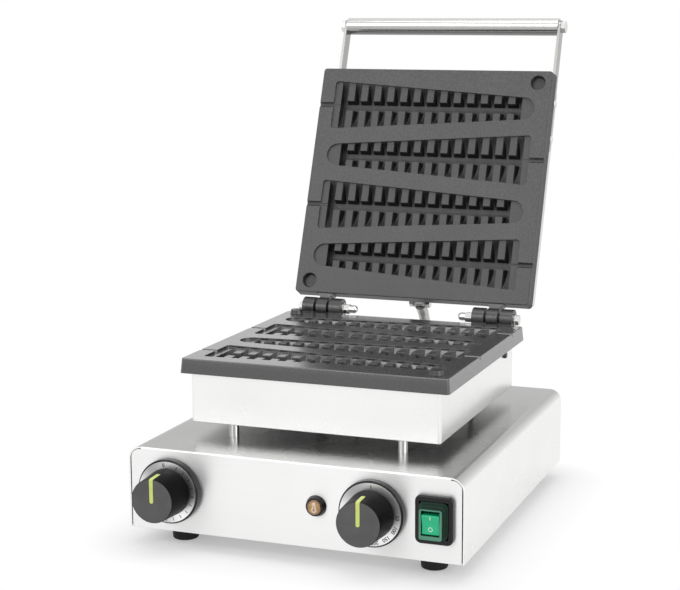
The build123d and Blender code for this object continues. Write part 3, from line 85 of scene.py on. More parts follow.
# Materials
class Paint:
    """A node material with a Principled shader and a few short ways to feed it."""

    def __init__(self, name, color, metallic=0.0, roughness=0.5, specular=0.5, coat=0.0, coat_rough=0.1):
        self.material = bpy.data.materials.new(name)
        self.material.use_nodes = True
        self.tree = self.material.node_tree
        self.nodes = self.tree.nodes
        self.links = self.tree.links
        self.shader = self.nodes["Principled BSDF"]
        self.shader.inputs["Base Color"].default_value = (*color, 1)
        self.shader.inputs["Metallic"].default_value = metallic
        self.shader.inputs["Roughness"].default_value = roughness
        self.shader.inputs["Specular IOR Level"].default_value = specular
        self.shader.inputs["Coat Weight"].default_value = coat
        self.shader.inputs["Coat Roughness"].default_value = coat_rough
        self.place = self.nodes.new("ShaderNodeTexCoord")
        self.color = color
        self.normal = None

    def noise(self, stretch, scale, detail=3.0, rough=0.55):
        """A noise in the row frame, squeezed by stretch along X, Y and Z."""
        mapping = self.nodes.new("ShaderNodeMapping")
        mapping.inputs["Scale"].default_value = stretch
        self.links.new(self.place.outputs["Object"], mapping.inputs["Vector"])
        noise = self.nodes.new("ShaderNodeTexNoise")
        noise.inputs["Scale"].default_value = scale
        noise.inputs["Detail"].default_value = detail
        noise.inputs["Roughness"].default_value = rough
        self.links.new(mapping.outputs["Vector"], noise.inputs["Vector"])
        return noise.outputs["Fac"]

    def between(self, value, low, high, out_low, out_high):
        """Maps a value between two others."""
        change = self.nodes.new("ShaderNodeMapRange")
        change.inputs["From Min"].default_value = low
        change.inputs["From Max"].default_value = high
        change.inputs["To Min"].default_value = out_low
        change.inputs["To Max"].default_value = out_high
        self.links.new(value, change.inputs["Value"])
        return change.outputs["Result"]

    def tint(self, value, dark, light):
        """Varies the base colour from dark to light times itself with a value."""
        ramp = self.nodes.new("ShaderNodeValToRGB")
        ramp.color_ramp.elements[0].position = 0.3
        ramp.color_ramp.elements[0].color = (*[c * dark for c in self.color], 1)
        ramp.color_ramp.elements[1].position = 0.7
        ramp.color_ramp.elements[1].color = (*[min(1, c * light) for c in self.color], 1)
        self.links.new(value, ramp.inputs["Fac"])
        self.links.new(ramp.outputs["Color"], self.shader.inputs["Base Color"])

    def shade_by(self, value, start, end, at_start, at_end):
        """Multiplies the base colour by a share that follows a value."""
        scale = self.nodes.new("ShaderNodeVectorMath")
        scale.operation = "SCALE"
        socket = self.shader.inputs["Base Color"]
        self.links.new(socket.links[0].from_socket, scale.inputs[0])
        self.links.new(self.between(value, start, end, at_start, at_end), scale.inputs["Scale"])
        self.links.new(scale.outputs["Vector"], socket)

    def facing(self, axis):
        """How far the surface faces along X, Y or Z."""
        parts = self.nodes.new("ShaderNodeSeparateXYZ")
        self.links.new(self.place.outputs["Normal"], parts.inputs["Vector"])
        return parts.outputs[axis]

    def beyond(self, origin, way):
        """How far a place lies from another one along a direction, in metres."""
        offset = self.nodes.new("ShaderNodeVectorMath")
        offset.operation = "SUBTRACT"
        offset.inputs[1].default_value = origin
        self.links.new(self.place.outputs["Object"], offset.inputs[0])
        dot = self.nodes.new("ShaderNodeVectorMath")
        dot.operation = "DOT_PRODUCT"
        dot.inputs[1].default_value = way
        self.links.new(offset.outputs["Vector"], dot.inputs[0])
        return dot.outputs["Value"]

    def calculate(self, operation, first, second=0.0):
        """The result of a Math node for a linked value and a second one, linked or plain."""
        step = self.nodes.new("ShaderNodeMath")
        step.operation = operation
        self.links.new(first, step.inputs[0])
        if isinstance(second, float):
            step.inputs[1].default_value = second
        else:
            self.links.new(second, step.inputs[1])
        return step.outputs["Value"]

    def roughen(self, value, low, high):
        """Varies the roughness with a value."""
        self.links.new(self.between(value, 0.3, 0.7, low, high), self.shader.inputs["Roughness"])

    def soften(self, radius):
        """Rounds the look of sharp edges."""
        bevel = self.nodes.new("ShaderNodeBevel")
        bevel.samples = 6
        bevel.inputs["Radius"].default_value = radius
        self.normal = bevel.outputs["Normal"]
        self.links.new(self.normal, self.shader.inputs["Normal"])

    def bump(self, value, height, strength=1.0):
        """Raises the surface by a value times height, in metres."""
        bump = self.nodes.new("ShaderNodeBump")
        bump.inputs["Strength"].default_value = strength
        bump.inputs["Distance"].default_value = height
        self.links.new(value, bump.inputs["Height"])
        if self.normal is not None:
            self.links.new(self.normal, bump.inputs["Normal"])
        self.normal = bump.outputs["Normal"]
        self.links.new(self.normal, self.shader.inputs["Normal"])


def brushed_steel(name, color, roughness, grain, edge=0.0004, painted_top_shade=1.0):
    """Stainless sheet that blurs its reflections across a fine straight grain.

    grain is how dense the lines are along X, Y and Z, and the last argument the share of the colour left on
    upward faces: a painted shade for the darker reflections a sheet's top shows.
    """
    paint = Paint(name, color, metallic=1.0, roughness=roughness)
    across_grain = paint.nodes.new("ShaderNodeCombineXYZ")
    across_grain.inputs["Y"].default_value = 1
    across_grain.inputs["Z"].default_value = 1
    paint.links.new(across_grain.outputs["Vector"], paint.shader.inputs["Tangent"])
    paint.shader.inputs["Anisotropic"].default_value = 0.7
    lines = paint.noise(grain, 1.0, 4.0, 0.7)
    cloud = paint.noise((1, 1, 1), 14.0, 3.0)
    paint.tint(lines, 0.98, 1.02)
    # Painted shade: upward faces keep only the given share of the colour, darker than the sides.
    paint.shade_by(paint.facing("Z"), 0.3, 0.9, 1.0, painted_top_shade)
    paint.roughen(cloud, roughness - 0.03, roughness + 0.04)
    paint.soften(edge)
    paint.bump(lines, 0.000005, 0.1)
    return paint.material


# Painted reflection on the dials' rings: how many bright sectors it has and how far the first is turned
# from the top, in degrees.
painted_sheen_wedges = 3.0
painted_sheen_turn = 25


def spun_metal(name, color, roughness, middle):
    """Aluminium turned on a lathe; its sheen is a painted reflection, bright and dark sectors round the
    middle that scale the colour.
    """
    paint = Paint(name, color, metallic=1.0, roughness=roughness)
    tangent = paint.nodes.new("ShaderNodeTangent")
    tangent.direction_type = "RADIAL"
    tangent.axis = "Y"
    paint.links.new(tangent.outputs["Tangent"], paint.shader.inputs["Tangent"])
    paint.shader.inputs["Anisotropic"].default_value = 0.75
    grain = paint.noise((1, 1, 1), 700.0, 3.0)
    paint.tint(grain, 0.95, 1.04)
    # Painted reflection: the colour runs between 0.42 and 1 of itself with the angle round the middle.
    sideways = paint.beyond(middle, (1, 0, 0))
    upward = paint.beyond(middle, (0, 0, 1))
    turn = paint.calculate("ADD", paint.calculate("ARCTAN2", sideways, upward), math.radians(-painted_sheen_turn))
    painted_sheen = paint.calculate("COSINE", paint.calculate("MULTIPLY", turn, painted_sheen_wedges))
    paint.shade_by(painted_sheen, -1.0, 1.0, 0.42, 1.0)
    paint.soften(0.0002)
    return paint.material


def plated(name, color, roughness, underside_shade=1.0):
    """Plated or polished metal with faint handling marks, and a painted shade: undersides keep the share of
    the colour given last.
    """
    paint = Paint(name, color, metallic=1.0, roughness=roughness)
    marks = paint.noise((1, 1, 1), 160.0, 5.0)
    paint.tint(marks, 0.96, 1.02)
    # Painted shade: faces that look down keep less of the colour.
    paint.shade_by(paint.facing("Z"), -0.7, 0.3, underside_shade, 1.0)
    paint.roughen(marks, roughness * 0.9, roughness * 1.15)
    paint.soften(0.0003)
    return paint.material


# Painted shade in the moulds: how deep it starts, how deep it is full and the share of the colour it
# leaves.
mould_shade_from = 0.4 * mm
mould_shade_at = 5 * mm
mould_shade_share = 0.22


def cast_coat(name, color, roughness, specular, face, inward, coat=0.0):
    """Black non-stick coat on a sanded casting: a fine pebble, with a painted highlight on its edges and
    painted shade down in its moulds.

    face is a point on the plate's face, and inward the way down into its moulds.
    """
    paint = Paint(name, color, roughness=roughness, specular=specular, coat=coat, coat_rough=0.22)
    pebble = paint.noise((1, 1, 1), 700.0, 3.0, 0.6)
    cloud = paint.noise((1, 1, 1), 30.0, 3.0)
    paint.tint(cloud, 0.9, 1.1)
    paint.shade_by(pebble, 0.40, 0.60, 0.60, 1.45)
    # Painted shade: the colour darkens with depth below the face.
    depth = paint.beyond(face, inward)
    paint.shade_by(depth, mould_shade_from, mould_shade_at, 1.0, mould_shade_share)
    paint.soften(0.0008)
    # Painted highlight: the colour is brightened up to 2.6 times along edges, where the rounded normal
    # leans away from the true one.
    true_normal = paint.nodes.new("ShaderNodeNewGeometry")
    edge_highlight = paint.nodes.new("ShaderNodeVectorMath")
    edge_highlight.operation = "DOT_PRODUCT"
    paint.links.new(paint.normal, edge_highlight.inputs[0])
    paint.links.new(true_normal.outputs["True Normal"], edge_highlight.inputs[1])
    paint.shade_by(edge_highlight.outputs["Value"], 0.80, 0.98, 2.6, 1.0)
    paint.roughen(pebble, roughness - 0.08, roughness + 0.10)
    paint.bump(pebble, 0.00010, 0.9)
    return paint.material


def moulded(
    name,
    color,
    roughness,
    pebble_size=2500.0,
    height=0.00002,
    coat=0.0,
    edge=0.0004,
    specular=0.5,
    painted_side_shade=1.0,
    ior=None,
):
    """Moulded plastic or rubber with a fine spark texture.

    Faces that don't look to the front keep only a given share of the colour: a painted shade.
    """
    paint = Paint(name, color, roughness=roughness, coat=coat, specular=specular)
    pebble = paint.noise((1, 1, 1), pebble_size, 2.0)
    cloud = paint.noise((1, 1, 1), 60.0, 3.0)
    paint.tint(cloud, 0.9, 1.1)
    # Painted shade on faces that turn away from the front.
    paint.shade_by(paint.facing("Y"), -0.95, -0.5, 1.0, painted_side_shade)
    if ior:
        paint.shader.inputs["IOR"].default_value = ior
    paint.roughen(pebble, max(0.03, roughness - 0.05), roughness + 0.06)
    paint.soften(edge)
    paint.bump(pebble, height, 0.6)
    return paint.material


def stepped_boot(name, color, roughness):
    """Soft green boot of the switch: pale on its foremost rim, with painted shade that darkens the steps
    behind it.
    """
    paint = Paint(name, color, roughness=roughness, specular=0.3)
    cloud = paint.noise((1, 1, 1), 60.0, 3.0)
    paint.tint(cloud, 0.9, 1.1)
    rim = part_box("switch_boot")[0]
    # Painted shade: behind the foremost rim the colour falls to 0.14 of itself.
    paint.shade_by(paint.beyond(rim, (0, 1, 0)), 0.0002, 0.0008, 1.0, 0.14)
    paint.roughen(cloud, roughness - 0.04, roughness + 0.05)
    paint.soften(0.0002)
    return paint.material


def amber_lens(name):
    """Tinted clear plastic with a warm glow from the lamp behind it."""
    paint = Paint(name, (0.42, 0.24, 0.07), roughness=0.14, coat=1.0, coat_rough=0.05)
    cloud = paint.noise((1, 1, 1), 420.0, 3.0)
    paint.tint(cloud, 0.6, 1.5)
    paint.shader.inputs["Transmission Weight"].default_value = 0.1
    paint.shader.inputs["Emission Color"].default_value = (0.9, 0.45, 0.1, 1)
    paint.shader.inputs["Emission Strength"].default_value = 0.06
    paint.soften(0.0004)
    return paint.material


along_x = (3.0, 2600.0, 2600.0)
# The base cover's top keeps 0.47 of its colour: a painted shade.
steel_top = brushed_steel("steel_cover", (0.90, 0.90, 0.89), 0.26, along_x, painted_top_shade=0.47)
steel_panel = brushed_steel("steel_panel", (0.83, 0.83, 0.825), 0.36, along_x)
steel_box = brushed_steel("steel_box", (0.88, 0.88, 0.87), 0.26, along_x)
steel_lid = brushed_steel("steel_lid_cover", (0.72, 0.72, 0.71), 0.30, along_x)
# The handle arms are the same stainless steel at a much darker colour: a painted shade.
steel_arm_painted_shade = brushed_steel("steel_arm_painted_shade", (0.35, 0.35, 0.34), 0.22, (2600.0, 60.0, 60.0), 0.0003)
bright_tube = plated("polished_tube", (0.74, 0.74, 0.73), 0.11)
# The handle bar's undersides keep 0.32 of its colour: a painted shade.
bar_tube = plated("bar_tube", (0.66, 0.66, 0.65), 0.14, underside_shade=0.32)
bright_bolt = plated("plated_bolt", (0.66, 0.66, 0.65), 0.2)
satin_steel = plated("satin_steel", (0.50, 0.50, 0.49), 0.3)
# The hinge spacers are near black, a painted shade standing for the deep shade in the hinge gaps.
spacer_painted_shade = plated("spacer_painted_shade", (0.16, 0.16, 0.16), 0.35)
dark_screw = plated("blackened_screw", (0.06, 0.06, 0.06), 0.35)
plate_top = Vector((0, 0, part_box("lower_plate")[1].z))
lower_gray = (0.032, 0.032, 0.032)
lower_coat = cast_coat("lower_plate_coat", lower_gray, 0.30, 1.0, plate_top, (0, 0, -1), coat=0.8)
# rim_coat darkens the lugs, pins and knuckles upward from the lower plate's face: painted shade.
rim_coat = cast_coat("rim_coat", (0.034, 0.034, 0.034), 0.34, 0.9, plate_top, (0, 0, 1))
plates_apart = hinge.z - plate_top.z
upper_face = hinge - lid_up_way * plates_apart
upper_coat = cast_coat("upper_plate_coat", (0.055, 0.055, 0.055), 0.44, 0.6, upper_face, lid_up_way)
bezel_gray = (0.010, 0.010, 0.010)
bezel_black = moulded("bezel_black", bezel_gray, 0.26, 900.0, 0.000008, edge=0.0002, specular=0.3)
knob_gray = (0.125, 0.125, 0.126)
# The knobs' sides keep 0.03 of the colour, a painted shade, so that only their faces look grey.
knob_black = moulded("knob_black", knob_gray, 0.34, 1800.0, specular=0.12, painted_side_shade=0.03, ior=1.25)
timer_silver = spun_metal("timer_silver", (0.95, 0.95, 0.95), 0.32, on_panel(timer_x, 0, 0))
thermostat_silver = spun_metal("thermostat_silver", (0.95, 0.95, 0.95), 0.32, on_panel(thermostat_x, 0, 0))
lime_line = moulded("lime_line", (0.68, 0.76, 0.20), 0.4, 1500.0, 0.00001, edge=0.0002)
boot_green = stepped_boot("boot_green", (0.11, 0.31, 0.21), 0.34)
signal_green = (0.010, 0.540, 0.250)
rocker_green = moulded("rocker_green", signal_green, 0.25, 900.0, 0.000006, coat=0.15, specular=0.4)
rubber_gray = (0.012, 0.012, 0.012)
rubber_black = moulded("foot_rubber", rubber_gray, 0.62, 1200.0, 0.00006, edge=0.0006, specular=0.3)
white_mark = moulded("white_mark", (0.70, 0.86, 0.76), 0.5, 1500.0, 0.00001, edge=0.0001)
black_mark = moulded("black_mark", (0.02, 0.02, 0.02), 0.5, 1500.0, 0.00001, edge=0.0001)
glyph_pale = moulded("glyph_pale", (0.86, 0.70, 0.58), 0.5, 1500.0, 0.00001, edge=0.0001)
copper_ring = plated("copper_ring", (0.26, 0.17, 0.12), 0.3)
gland_black = moulded("gland_black", (0.02, 0.02, 0.02), 0.45, 1500.0, 0.00003)
inner_plastic = moulded("inner_plastic", (0.62, 0.60, 0.55), 0.5, 1500.0, 0.00003)
felt = moulded("mineral_felt", (0.62, 0.58, 0.48), 0.95, 420.0, 0.0006)
oxide_tube = plated("oxidised_tube", (0.20, 0.18, 0.16), 0.42)
nickel = plated("nickel_plate", (0.60, 0.58, 0.54), 0.24)
lens_amber = amber_lens("lamp_amber")

looks = {
    "base_cover": steel_top, "front_panel": steel_panel, "rear_panel": steel_top, "bottom_plate": steel_box,
    "rear_screws": bright_bolt, "feet": rubber_black, "foot_screws": satin_steel,
    "cord_gland": gland_black, "cord_gland_nut": gland_black,
    "posts": bright_tube, "post_nuts": satin_steel, "wire_tube": bright_tube,
    "heater_box": steel_box, "box_screws": dark_screw,
    "lower_plate": lower_coat, "lower_lugs": rim_coat, "locating_pins": rim_coat,
    "lower_element": oxide_tube, "lower_insulation": felt,
    "timer_bezel": bezel_black, "thermostat_bezel": bezel_black,
    "timer_scale": timer_silver, "thermostat_scale": thermostat_silver,
    "timer_body": inner_plastic, "thermostat_body": satin_steel,
    "lamp_bezel": bezel_black, "lamp_lens": lens_amber, "lamp_body": inner_plastic,
    "switch_frame": bezel_black, "switch_boot": boot_green, "switch_body": bezel_black,
    "terminal_block": inner_plastic, "wire_hose": satin_steel, "hose_gland": nickel,
    "hinge_bolts": bright_bolt, "hinge_nuts": bright_tube, "hinge_washers": bright_bolt,
    "hinge_spacers": spacer_painted_shade,
    "upper_plate": upper_coat, "upper_knuckles": rim_coat, "upper_cover": steel_lid,
    "upper_element": oxide_tube, "upper_insulation": felt,
    "handle_arms": steel_arm_painted_shade, "handle_bar": bar_tube, "bar_bolts": bright_bolt,
    "arm_screws": bright_bolt, "arm_nuts": satin_steel, "cover_screws": dark_screw,
    "hose_bracket": satin_steel, "bracket_screws": bright_bolt, "hose_barrel": bright_bolt,
    "timer_knob": knob_black, "timer_pointer": lime_line, "timer_spindle": satin_steel,
    "thermostat_knob": knob_black, "thermostat_pointer": lime_line, "thermostat_spindle": satin_steel,
    "rocker": rocker_green,
}
for name, look in looks.items():
    mesh = nodes[name].data
    mesh.materials.clear()
    mesh.materials.append(look)


# Pieces
def make_piece(name, shape, look, body):
    """Turns a bmesh into an object with a material and a slot, riding on a body if one is given."""
    mesh = bpy.data.meshes.new(name)
    shape.to_mesh(mesh)
    shape.free()
    mesh.materials.append(look)
    piece = bpy.data.objects.new(name, mesh)
    scene.collection.objects.link(piece)
    if body:
        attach(piece, body)
    return piece


def add_ring(shape, x, profile, steps=72):
    """Turns a closed profile of (radius, out) round the axis of the control at x."""
    rings = []
    for k in range(steps):
        angle = math.tau * k / steps
        sideways, up = math.sin(angle), math.cos(angle)
        rings.append([shape.verts.new(on_panel(x + r * sideways, r * up, out)) for r, out in profile])
    for this, following in zip(rings, rings[1:] + rings[:1]):
        for k in range(len(profile)):
            after = (k + 1) % len(profile)
            face = shape.faces.new((this[k], this[after], following[after], following[k]))
            face.smooth = True


def dial_place(x, radius, degrees, out):
    """The matrix of a dial mark, clockwise from the top: X along the rim, Y outwards, Z at the user."""
    turn = math.radians(degrees)
    outward = Vector((math.sin(turn), 0, math.cos(turn)))
    along = Vector((math.cos(turn), 0, -math.sin(turn)))
    place = on_panel(x, 0, out) + outward * radius
    return Matrix.Translation(place) @ Matrix((along, outward, Vector((0, -1, 0)))).transposed().to_4x4()


print_depth = 0.06 * mm
figure_weight = 0.09 * mm


def add_bar(shape, place, width, length):
    """Adds a thin printed bar, width along the matrix's X and length along its Y."""
    size = Matrix.Diagonal((width, length, print_depth, 1))
    bmesh.ops.create_cube(shape, size=1, matrix=place @ size)


def add_figures(shape, place, words, size):
    """Adds printed figures, upright in the matrix's Y."""
    curve = bpy.data.curves.new("figures", "FONT")
    curve.body = words
    curve.size = size
    curve.offset = figure_weight
    curve.align_x = "CENTER"
    curve.align_y = "CENTER"
    curve.extrude = print_depth / 2
    curve.resolution_u = 3
    holder = bpy.data.objects.new("figures", curve)
    printed = bpy.data.meshes.new_from_object(holder)
    printed.transform(place)
    shape.from_mesh(printed)
    bpy.data.objects.remove(holder)
    bpy.data.meshes.remove(printed)


# Dials: a line for each minute with figures at every fifth, and figures for the temperatures
scale_out = front_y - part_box("timer_scale")[0].y
mark_radius = 21.1 * mm
figure_size = 4.2 * mm
figure_every = 5
line_width = 0.55 * mm
line_length = 2.7 * mm
zero_turn = -7
first_minute = 5
minute_step = 18
minutes = 15
shape = bmesh.new()
for minute in range(minutes + 1):
    turn = minute * minute_step + first_minute if minute else zero_turn
    place = dial_place(timer_x, mark_radius, turn, scale_out)
    if minute % figure_every == 0:
        add_figures(shape, place, str(minute), figure_size)
    else:
        add_bar(shape, place, line_width, line_length)
make_piece("timer_marks", shape, black_mark, "base")

heats = (50, 100, 150, 200, 250, 300)
first_heat = 91
heat_step = 26.5
off_turn = 2
off_width = 0.6 * mm
off_length = 2.9 * mm
shape = bmesh.new()
add_bar(shape, dial_place(thermostat_x, mark_radius, off_turn, scale_out), off_width, off_length)
for k, heat in enumerate(heats):
    place = dial_place(thermostat_x, mark_radius, first_heat + k * heat_step, scale_out)
    add_figures(shape, place, str(heat), figure_size)
make_piece("thermostat_marks", shape, black_mark, "base")

# Pilot lamp: a copper ring round the lens and a thermometer sign on it
lens_out = front_y - lens_low.y
shape = bmesh.new()
add_ring(
    shape,
    lamp_x,
    [
        (4.75 * mm, lens_out - 0.1 * mm),
        (4.95 * mm, lens_out + 0.35 * mm),
        (5.35 * mm, lens_out + 0.35 * mm),
        (5.65 * mm, lens_out - 0.2 * mm),
        (5.65 * mm, lens_out - 0.6 * mm),
        (4.75 * mm, lens_out - 0.6 * mm),
    ],
)
make_piece("lamp_ring", shape, copper_ring, "base")


def keyhole(stem, top, bulb, middle, steps=14):
    """The outline of a stem with a round top over a bulb, as (x, up) pairs. middle is the bulb's height."""
    outline = []
    for k in range(steps + 1):
        angle = math.pi * (1 - k / steps)
        outline.append((stem * math.cos(angle), top + stem * math.sin(angle)))
    meeting = math.acos(stem / bulb)
    sweep = math.pi + 2 * meeting
    for k in range(2 * steps + 1):
        angle = meeting - sweep * k / (2 * steps)
        outline.append((bulb * math.cos(angle), middle + bulb * math.sin(angle)))
    return outline


sign_out = lens_out + 0.04 * mm
shape = bmesh.new()
outer = keyhole(stem=1.35 * mm, top=2.7 * mm, bulb=2.15 * mm, middle=-2.0 * mm)
inner = keyhole(stem=0.42 * mm, top=1.1 * mm, bulb=1.05 * mm, middle=-2.0 * mm)
outside = [shape.verts.new(on_panel(lamp_x + x, up, sign_out)) for x, up in outer]
inside = [shape.verts.new(on_panel(lamp_x + x, up, sign_out)) for x, up in inner]
for k in range(len(outer)):
    after = (k + 1) % len(outer)
    shape.faces.new((outside[k], inside[k], inside[after], outside[after]))
make_piece("lamp_sign", shape, glyph_pale, "base")


well_in_front = 0.1
mark_lift = 0.02 * mm


def front_of(node, x, up):
    """The matrix of a mark that lies where a line into the panel at x and up first meets a node."""
    mesh = nodes[node].data
    tree = BVHTree.FromPolygons([v.co for v in mesh.vertices], [p.vertices for p in mesh.polygons])
    place, normal, _, _ = tree.ray_cast(on_panel(x, up, well_in_front), Vector((0, 1, 0)))
    along = Vector((1, 0, 0))
    upward = normal.cross(along)
    turned = Matrix((along, upward, normal)).transposed().to_4x4()
    return Matrix.Translation(place + normal * mark_lift) @ turned


# Rocker: a bar for on and a ring for off
rocker_mark_x = switch_x - 0.2 * mm
on_mark_up = 4.0 * mm
off_mark_up = -4.6 * mm
shape = bmesh.new()
add_bar(shape, front_of("rocker", rocker_mark_x, on_mark_up), width=0.75 * mm, length=2.8 * mm)
make_piece("rocker_on_mark", shape, white_mark, "rocker_switch")

shape = bmesh.new()
place = front_of("rocker", rocker_mark_x, off_mark_up)
steps = 32
loops = []
for radius in (1.15 * mm, 1.75 * mm):
    loop = []
    for k in range(steps):
        angle = math.tau * k / steps
        corner = Vector((radius * math.sin(angle), radius * math.cos(angle), print_depth / 2))
        loop.append(shape.verts.new(place @ corner))
    loops.append(loop)
for k in range(steps):
    after = (k + 1) % steps
    shape.faces.new((loops[0][k], loops[1][k], loops[1][after], loops[0][after]))
make_piece("rocker_off_mark", shape, white_mark, "rocker_switch")

# Wire hose: a ribbed metal hose from the gland in the base up to the barrel on the lid
hose_low, hose_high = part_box("wire_hose")
barrel_low, barrel_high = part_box("hose_barrel")
barrel = (barrel_low + barrel_high) / 2
hose_radius = (hose_high.x - hose_low.x) / 2
barrel_radius = (barrel_high.z - barrel_low.z) / 2
gland_z = hose_low.z + hose_radius
hose_lean = math.radians(15)
hose_top = barrel + Vector((0, math.sin(hose_lean), -math.cos(hose_lean))) * barrel_radius
hose_start = Vector((0, hose_low.y, gland_z))
hose_corner = Vector((0, hose_top.y + (hose_top.z - gland_z) * math.tan(hose_lean), gland_z))
hose_neck = hose_top + Vector((2 * mm, 9 * mm, -11 * mm))


def along_spline(route):
    """Points close together on a smooth line that has the route's points as its control points."""
    curve = bpy.data.curves.new("route", "CURVE")
    curve.dimensions = "3D"
    curve.resolution_u = 60
    spline = curve.splines.new("NURBS")
    spline.points.add(len(route) - 1)
    for point, place in zip(spline.points, route):
        point.co = (*place, 1)
    spline.order_u = 3
    spline.use_endpoint_u = True
    holder = bpy.data.objects.new("route", curve)
    line = bpy.data.meshes.new_from_object(holder)
    points = [v.co.copy() for v in line.vertices]
    bpy.data.objects.remove(holder)
    bpy.data.meshes.remove(line)
    return points


def evenly(points, step):
    """Pairs of a place and its distance along a line of points, step apart."""
    places = []
    passed = 0.0
    due = 0.0
    for a, b in zip(points, points[1:]):
        run = (b - a).length
        while due <= passed + run:
            places.append((a.lerp(b, (due - passed) / run), due))
            due += step
        passed += run
    places.append((points[-1], passed))
    return places


rib_pitch = 2.4 * mm
steps_per_rib = 8
groove_share = 0.92
rib_share = 0.06
rib_power = 0.7
ferrule_length = 9 * mm
hose_line = along_spline([hose_start, hose_corner, hose_neck, hose_top])
stations = evenly(hose_line, rib_pitch / steps_per_rib)
hose_length = stations[-1][1]
shape = bmesh.new()
sides = 28
rings = []
for k, (place, distance) in enumerate(stations):
    before = stations[max(0, k - 1)][0]
    after = stations[min(len(stations) - 1, k + 1)][0]
    way = (after - before).normalized()
    across = way.cross(Vector((1, 0, 0)))
    rib = 0.5 - 0.5 * math.cos(math.tau * distance / rib_pitch)
    radius = hose_radius * (groove_share + rib_share * rib ** rib_power)
    if distance > hose_length - ferrule_length:
        radius = hose_radius
    ring = []
    for n in range(sides):
        angle = math.tau * n / sides
        sideways = Vector((radius * math.cos(angle), 0, 0))
        ring.append(shape.verts.new(place + sideways + across * radius * math.sin(angle)))
    rings.append(ring)
for this, following in zip(rings, rings[1:]):
    for n in range(sides):
        after = (n + 1) % sides
        shape.faces.new((this[n], this[after], following[after], following[n])).smooth = True
shape.faces.new(rings[0])
shape.faces.new(reversed(rings[-1]))
hose = make_piece("ribbed_hose", shape, satin_steel, None)
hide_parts("wire_hose")
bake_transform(hose)

# Floor, light and camera
floor_half = 30
floor_drop = 0.0002
floor_corners = [
    (-floor_half, -floor_half, 0),
    (floor_half, -floor_half, 0),
    (floor_half, floor_half, 0),
    (-floor_half, floor_half, 0),
]
floor_mesh = bpy.data.meshes.new("floor")
floor_mesh.from_pydata(floor_corners, [], [(0, 1, 2, 3)])
floor = bpy.data.objects.new("floor", floor_mesh)
floor.location.z = -floor_drop
scene.collection.objects.link(floor)


def seen_or_mirrored(tree):
    """1 for what the camera sees straight on, in a reflection or through glass, and else 0."""
    path = tree.nodes.new("ShaderNodeLightPath")
    either = tree.nodes.new("ShaderNodeMath")
    either.operation = "MAXIMUM"
    tree.links.new(path.outputs["Is Camera Ray"], either.inputs[0])
    tree.links.new(path.outputs["Is Glossy Ray"], either.inputs[1])
    all_three = tree.nodes.new("ShaderNodeMath")
    all_three.operation = "MAXIMUM"
    tree.links.new(either.outputs["Value"], all_three.inputs[0])
    tree.links.new(path.outputs["Is Transmission Ray"], all_three.inputs[1])
    return all_three.outputs["Value"]


# The floor keeps the object's shadow near it and goes over into the white backdrop further out
floor_paint = Paint("pale_floor", (0.86, 0.86, 0.86), roughness=0.9, specular=0.0)
floor_paint.tint(floor_paint.noise((1, 1, 1), 3.0), 0.985, 1.01)
floor_mesh.materials.append(floor_paint.material)
tree = floor_paint.tree
white = tree.nodes.new("ShaderNodeEmission")
white.inputs["Strength"].default_value = 1.0
base_low, base_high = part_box("base_cover")
base_middle = (base_low + base_high) / 2
shadow_inset = 20 * mm
shadow_reach = 65 * mm
shadow_white = 0.30
shadow_half = (base_high - base_low) / 2 - Vector((shadow_inset, shadow_inset, 0))
away = floor_paint.place.outputs["Object"]
for operation, other in (
    ("SUBTRACT", (base_middle.x, base_middle.y, 0)),
    ("ABSOLUTE", (0, 0, 0)),
    ("SUBTRACT", (shadow_half.x, shadow_half.y, 0)),
    ("MAXIMUM", (0, 0, 0)),
    ("LENGTH", (0, 0, 0)),
):
    step = tree.nodes.new("ShaderNodeVectorMath")
    step.operation = operation
    step.inputs[1].default_value = other
    tree.links.new(away, step.inputs[0])
    away = step.outputs["Value" if operation == "LENGTH" else "Vector"]
far = floor_paint.between(away, 0.0, shadow_reach, shadow_white, 1.0)
share = tree.nodes.new("ShaderNodeMath")
share.operation = "MULTIPLY"
tree.links.new(far, share.inputs[0])
tree.links.new(seen_or_mirrored(tree), share.inputs[1])
mix = tree.nodes.new("ShaderNodeMixShader")
tree.links.new(share.outputs["Value"], mix.inputs["Fac"])
tree.links.new(floor_paint.shader.outputs["BSDF"], mix.inputs[1])
tree.links.new(white.outputs["Emission"], mix.inputs[2])
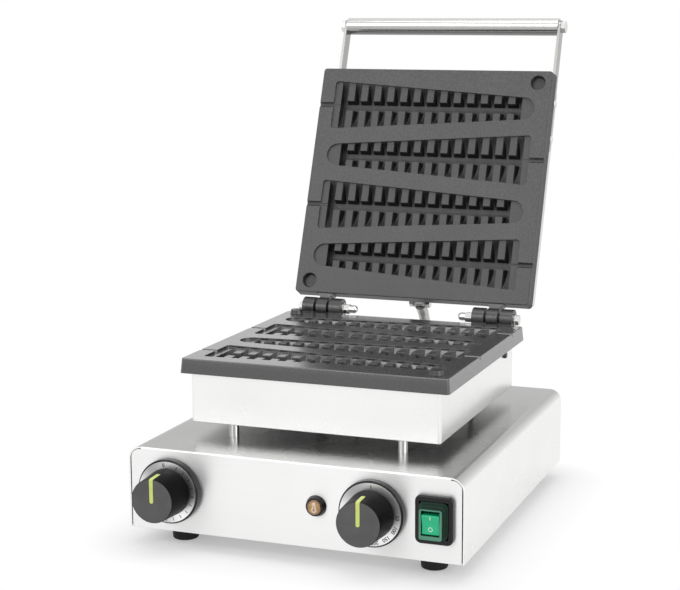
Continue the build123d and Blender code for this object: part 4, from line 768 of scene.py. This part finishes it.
tree.links.new(mix.outputs["Shader"], tree.nodes["Material Output"].inputs["Surface"])

world = bpy.data.worlds.new("studio")
scene.world = world
world.use_nodes = True
sky = world.node_tree
sky_light = sky.nodes["Background"]
sky_light.inputs["Color"].default_value = (1, 1, 1, 1)
sky_light.inputs["Strength"].default_value = 0.40
sky_seen = sky.nodes.new("ShaderNodeBackground")
sky_seen.inputs["Color"].default_value = (1, 1, 1, 1)
sky_seen.inputs["Strength"].default_value = 1.0
mix = sky.nodes.new("ShaderNodeMixShader")
sky.links.new(seen_or_mirrored(sky), mix.inputs["Fac"])
sky.links.new(sky_light.outputs["Background"], mix.inputs[1])
sky.links.new(sky_seen.outputs["Background"], mix.inputs[2])
sky.links.new(mix.outputs["Shader"], sky.nodes["World Output"].inputs["Surface"])


def softbox(name, place, target, size, power):
    """A large area lamp at place that faces target."""
    lamp = bpy.data.lights.new(name, "AREA")
    lamp.shape = "RECTANGLE"
    lamp.size, lamp.size_y = size
    lamp.energy = power
    holder = bpy.data.objects.new(name, lamp)
    holder.location = place
    holder.rotation_euler = (Vector(target) - Vector(place)).to_track_quat("-Z", "Y").to_euler()
    scene.collection.objects.link(holder)
    return holder


softbox("lamp_front", (-1.0, -2.4, 1.6), (0, 0, 0.15), (1.8, 1.2), 20)
softbox("lamp_right", (2.4, -0.9, 0.9), (0, 0, 0.15), (1.4, 1.4), 15)
softbox("lamp_top", (0.3, -0.3, 2.4), (0, 0, 0), (2.0, 1.6), 21)

# The camera stands where the photograph's did
camera_pitch = 10.089
camera_turn = 19.603
photo_width = 680
photo_shift = 50
camera = bpy.data.objects.new("camera", bpy.data.cameras.new("camera"))
camera.location = (0.45333, front_y - 1.05232, 0.40860)
camera.rotation_euler = (math.radians(90 - camera_pitch), 0, math.radians(camera_turn))
camera.data.sensor_width = 36
camera.data.lens = 84.263
camera.data.shift_x = -photo_shift / photo_width
camera.data.clip_start = 0.01
scene.collection.objects.link(camera)
scene.camera = camera
scene.view_settings.view_transform = "Standard"
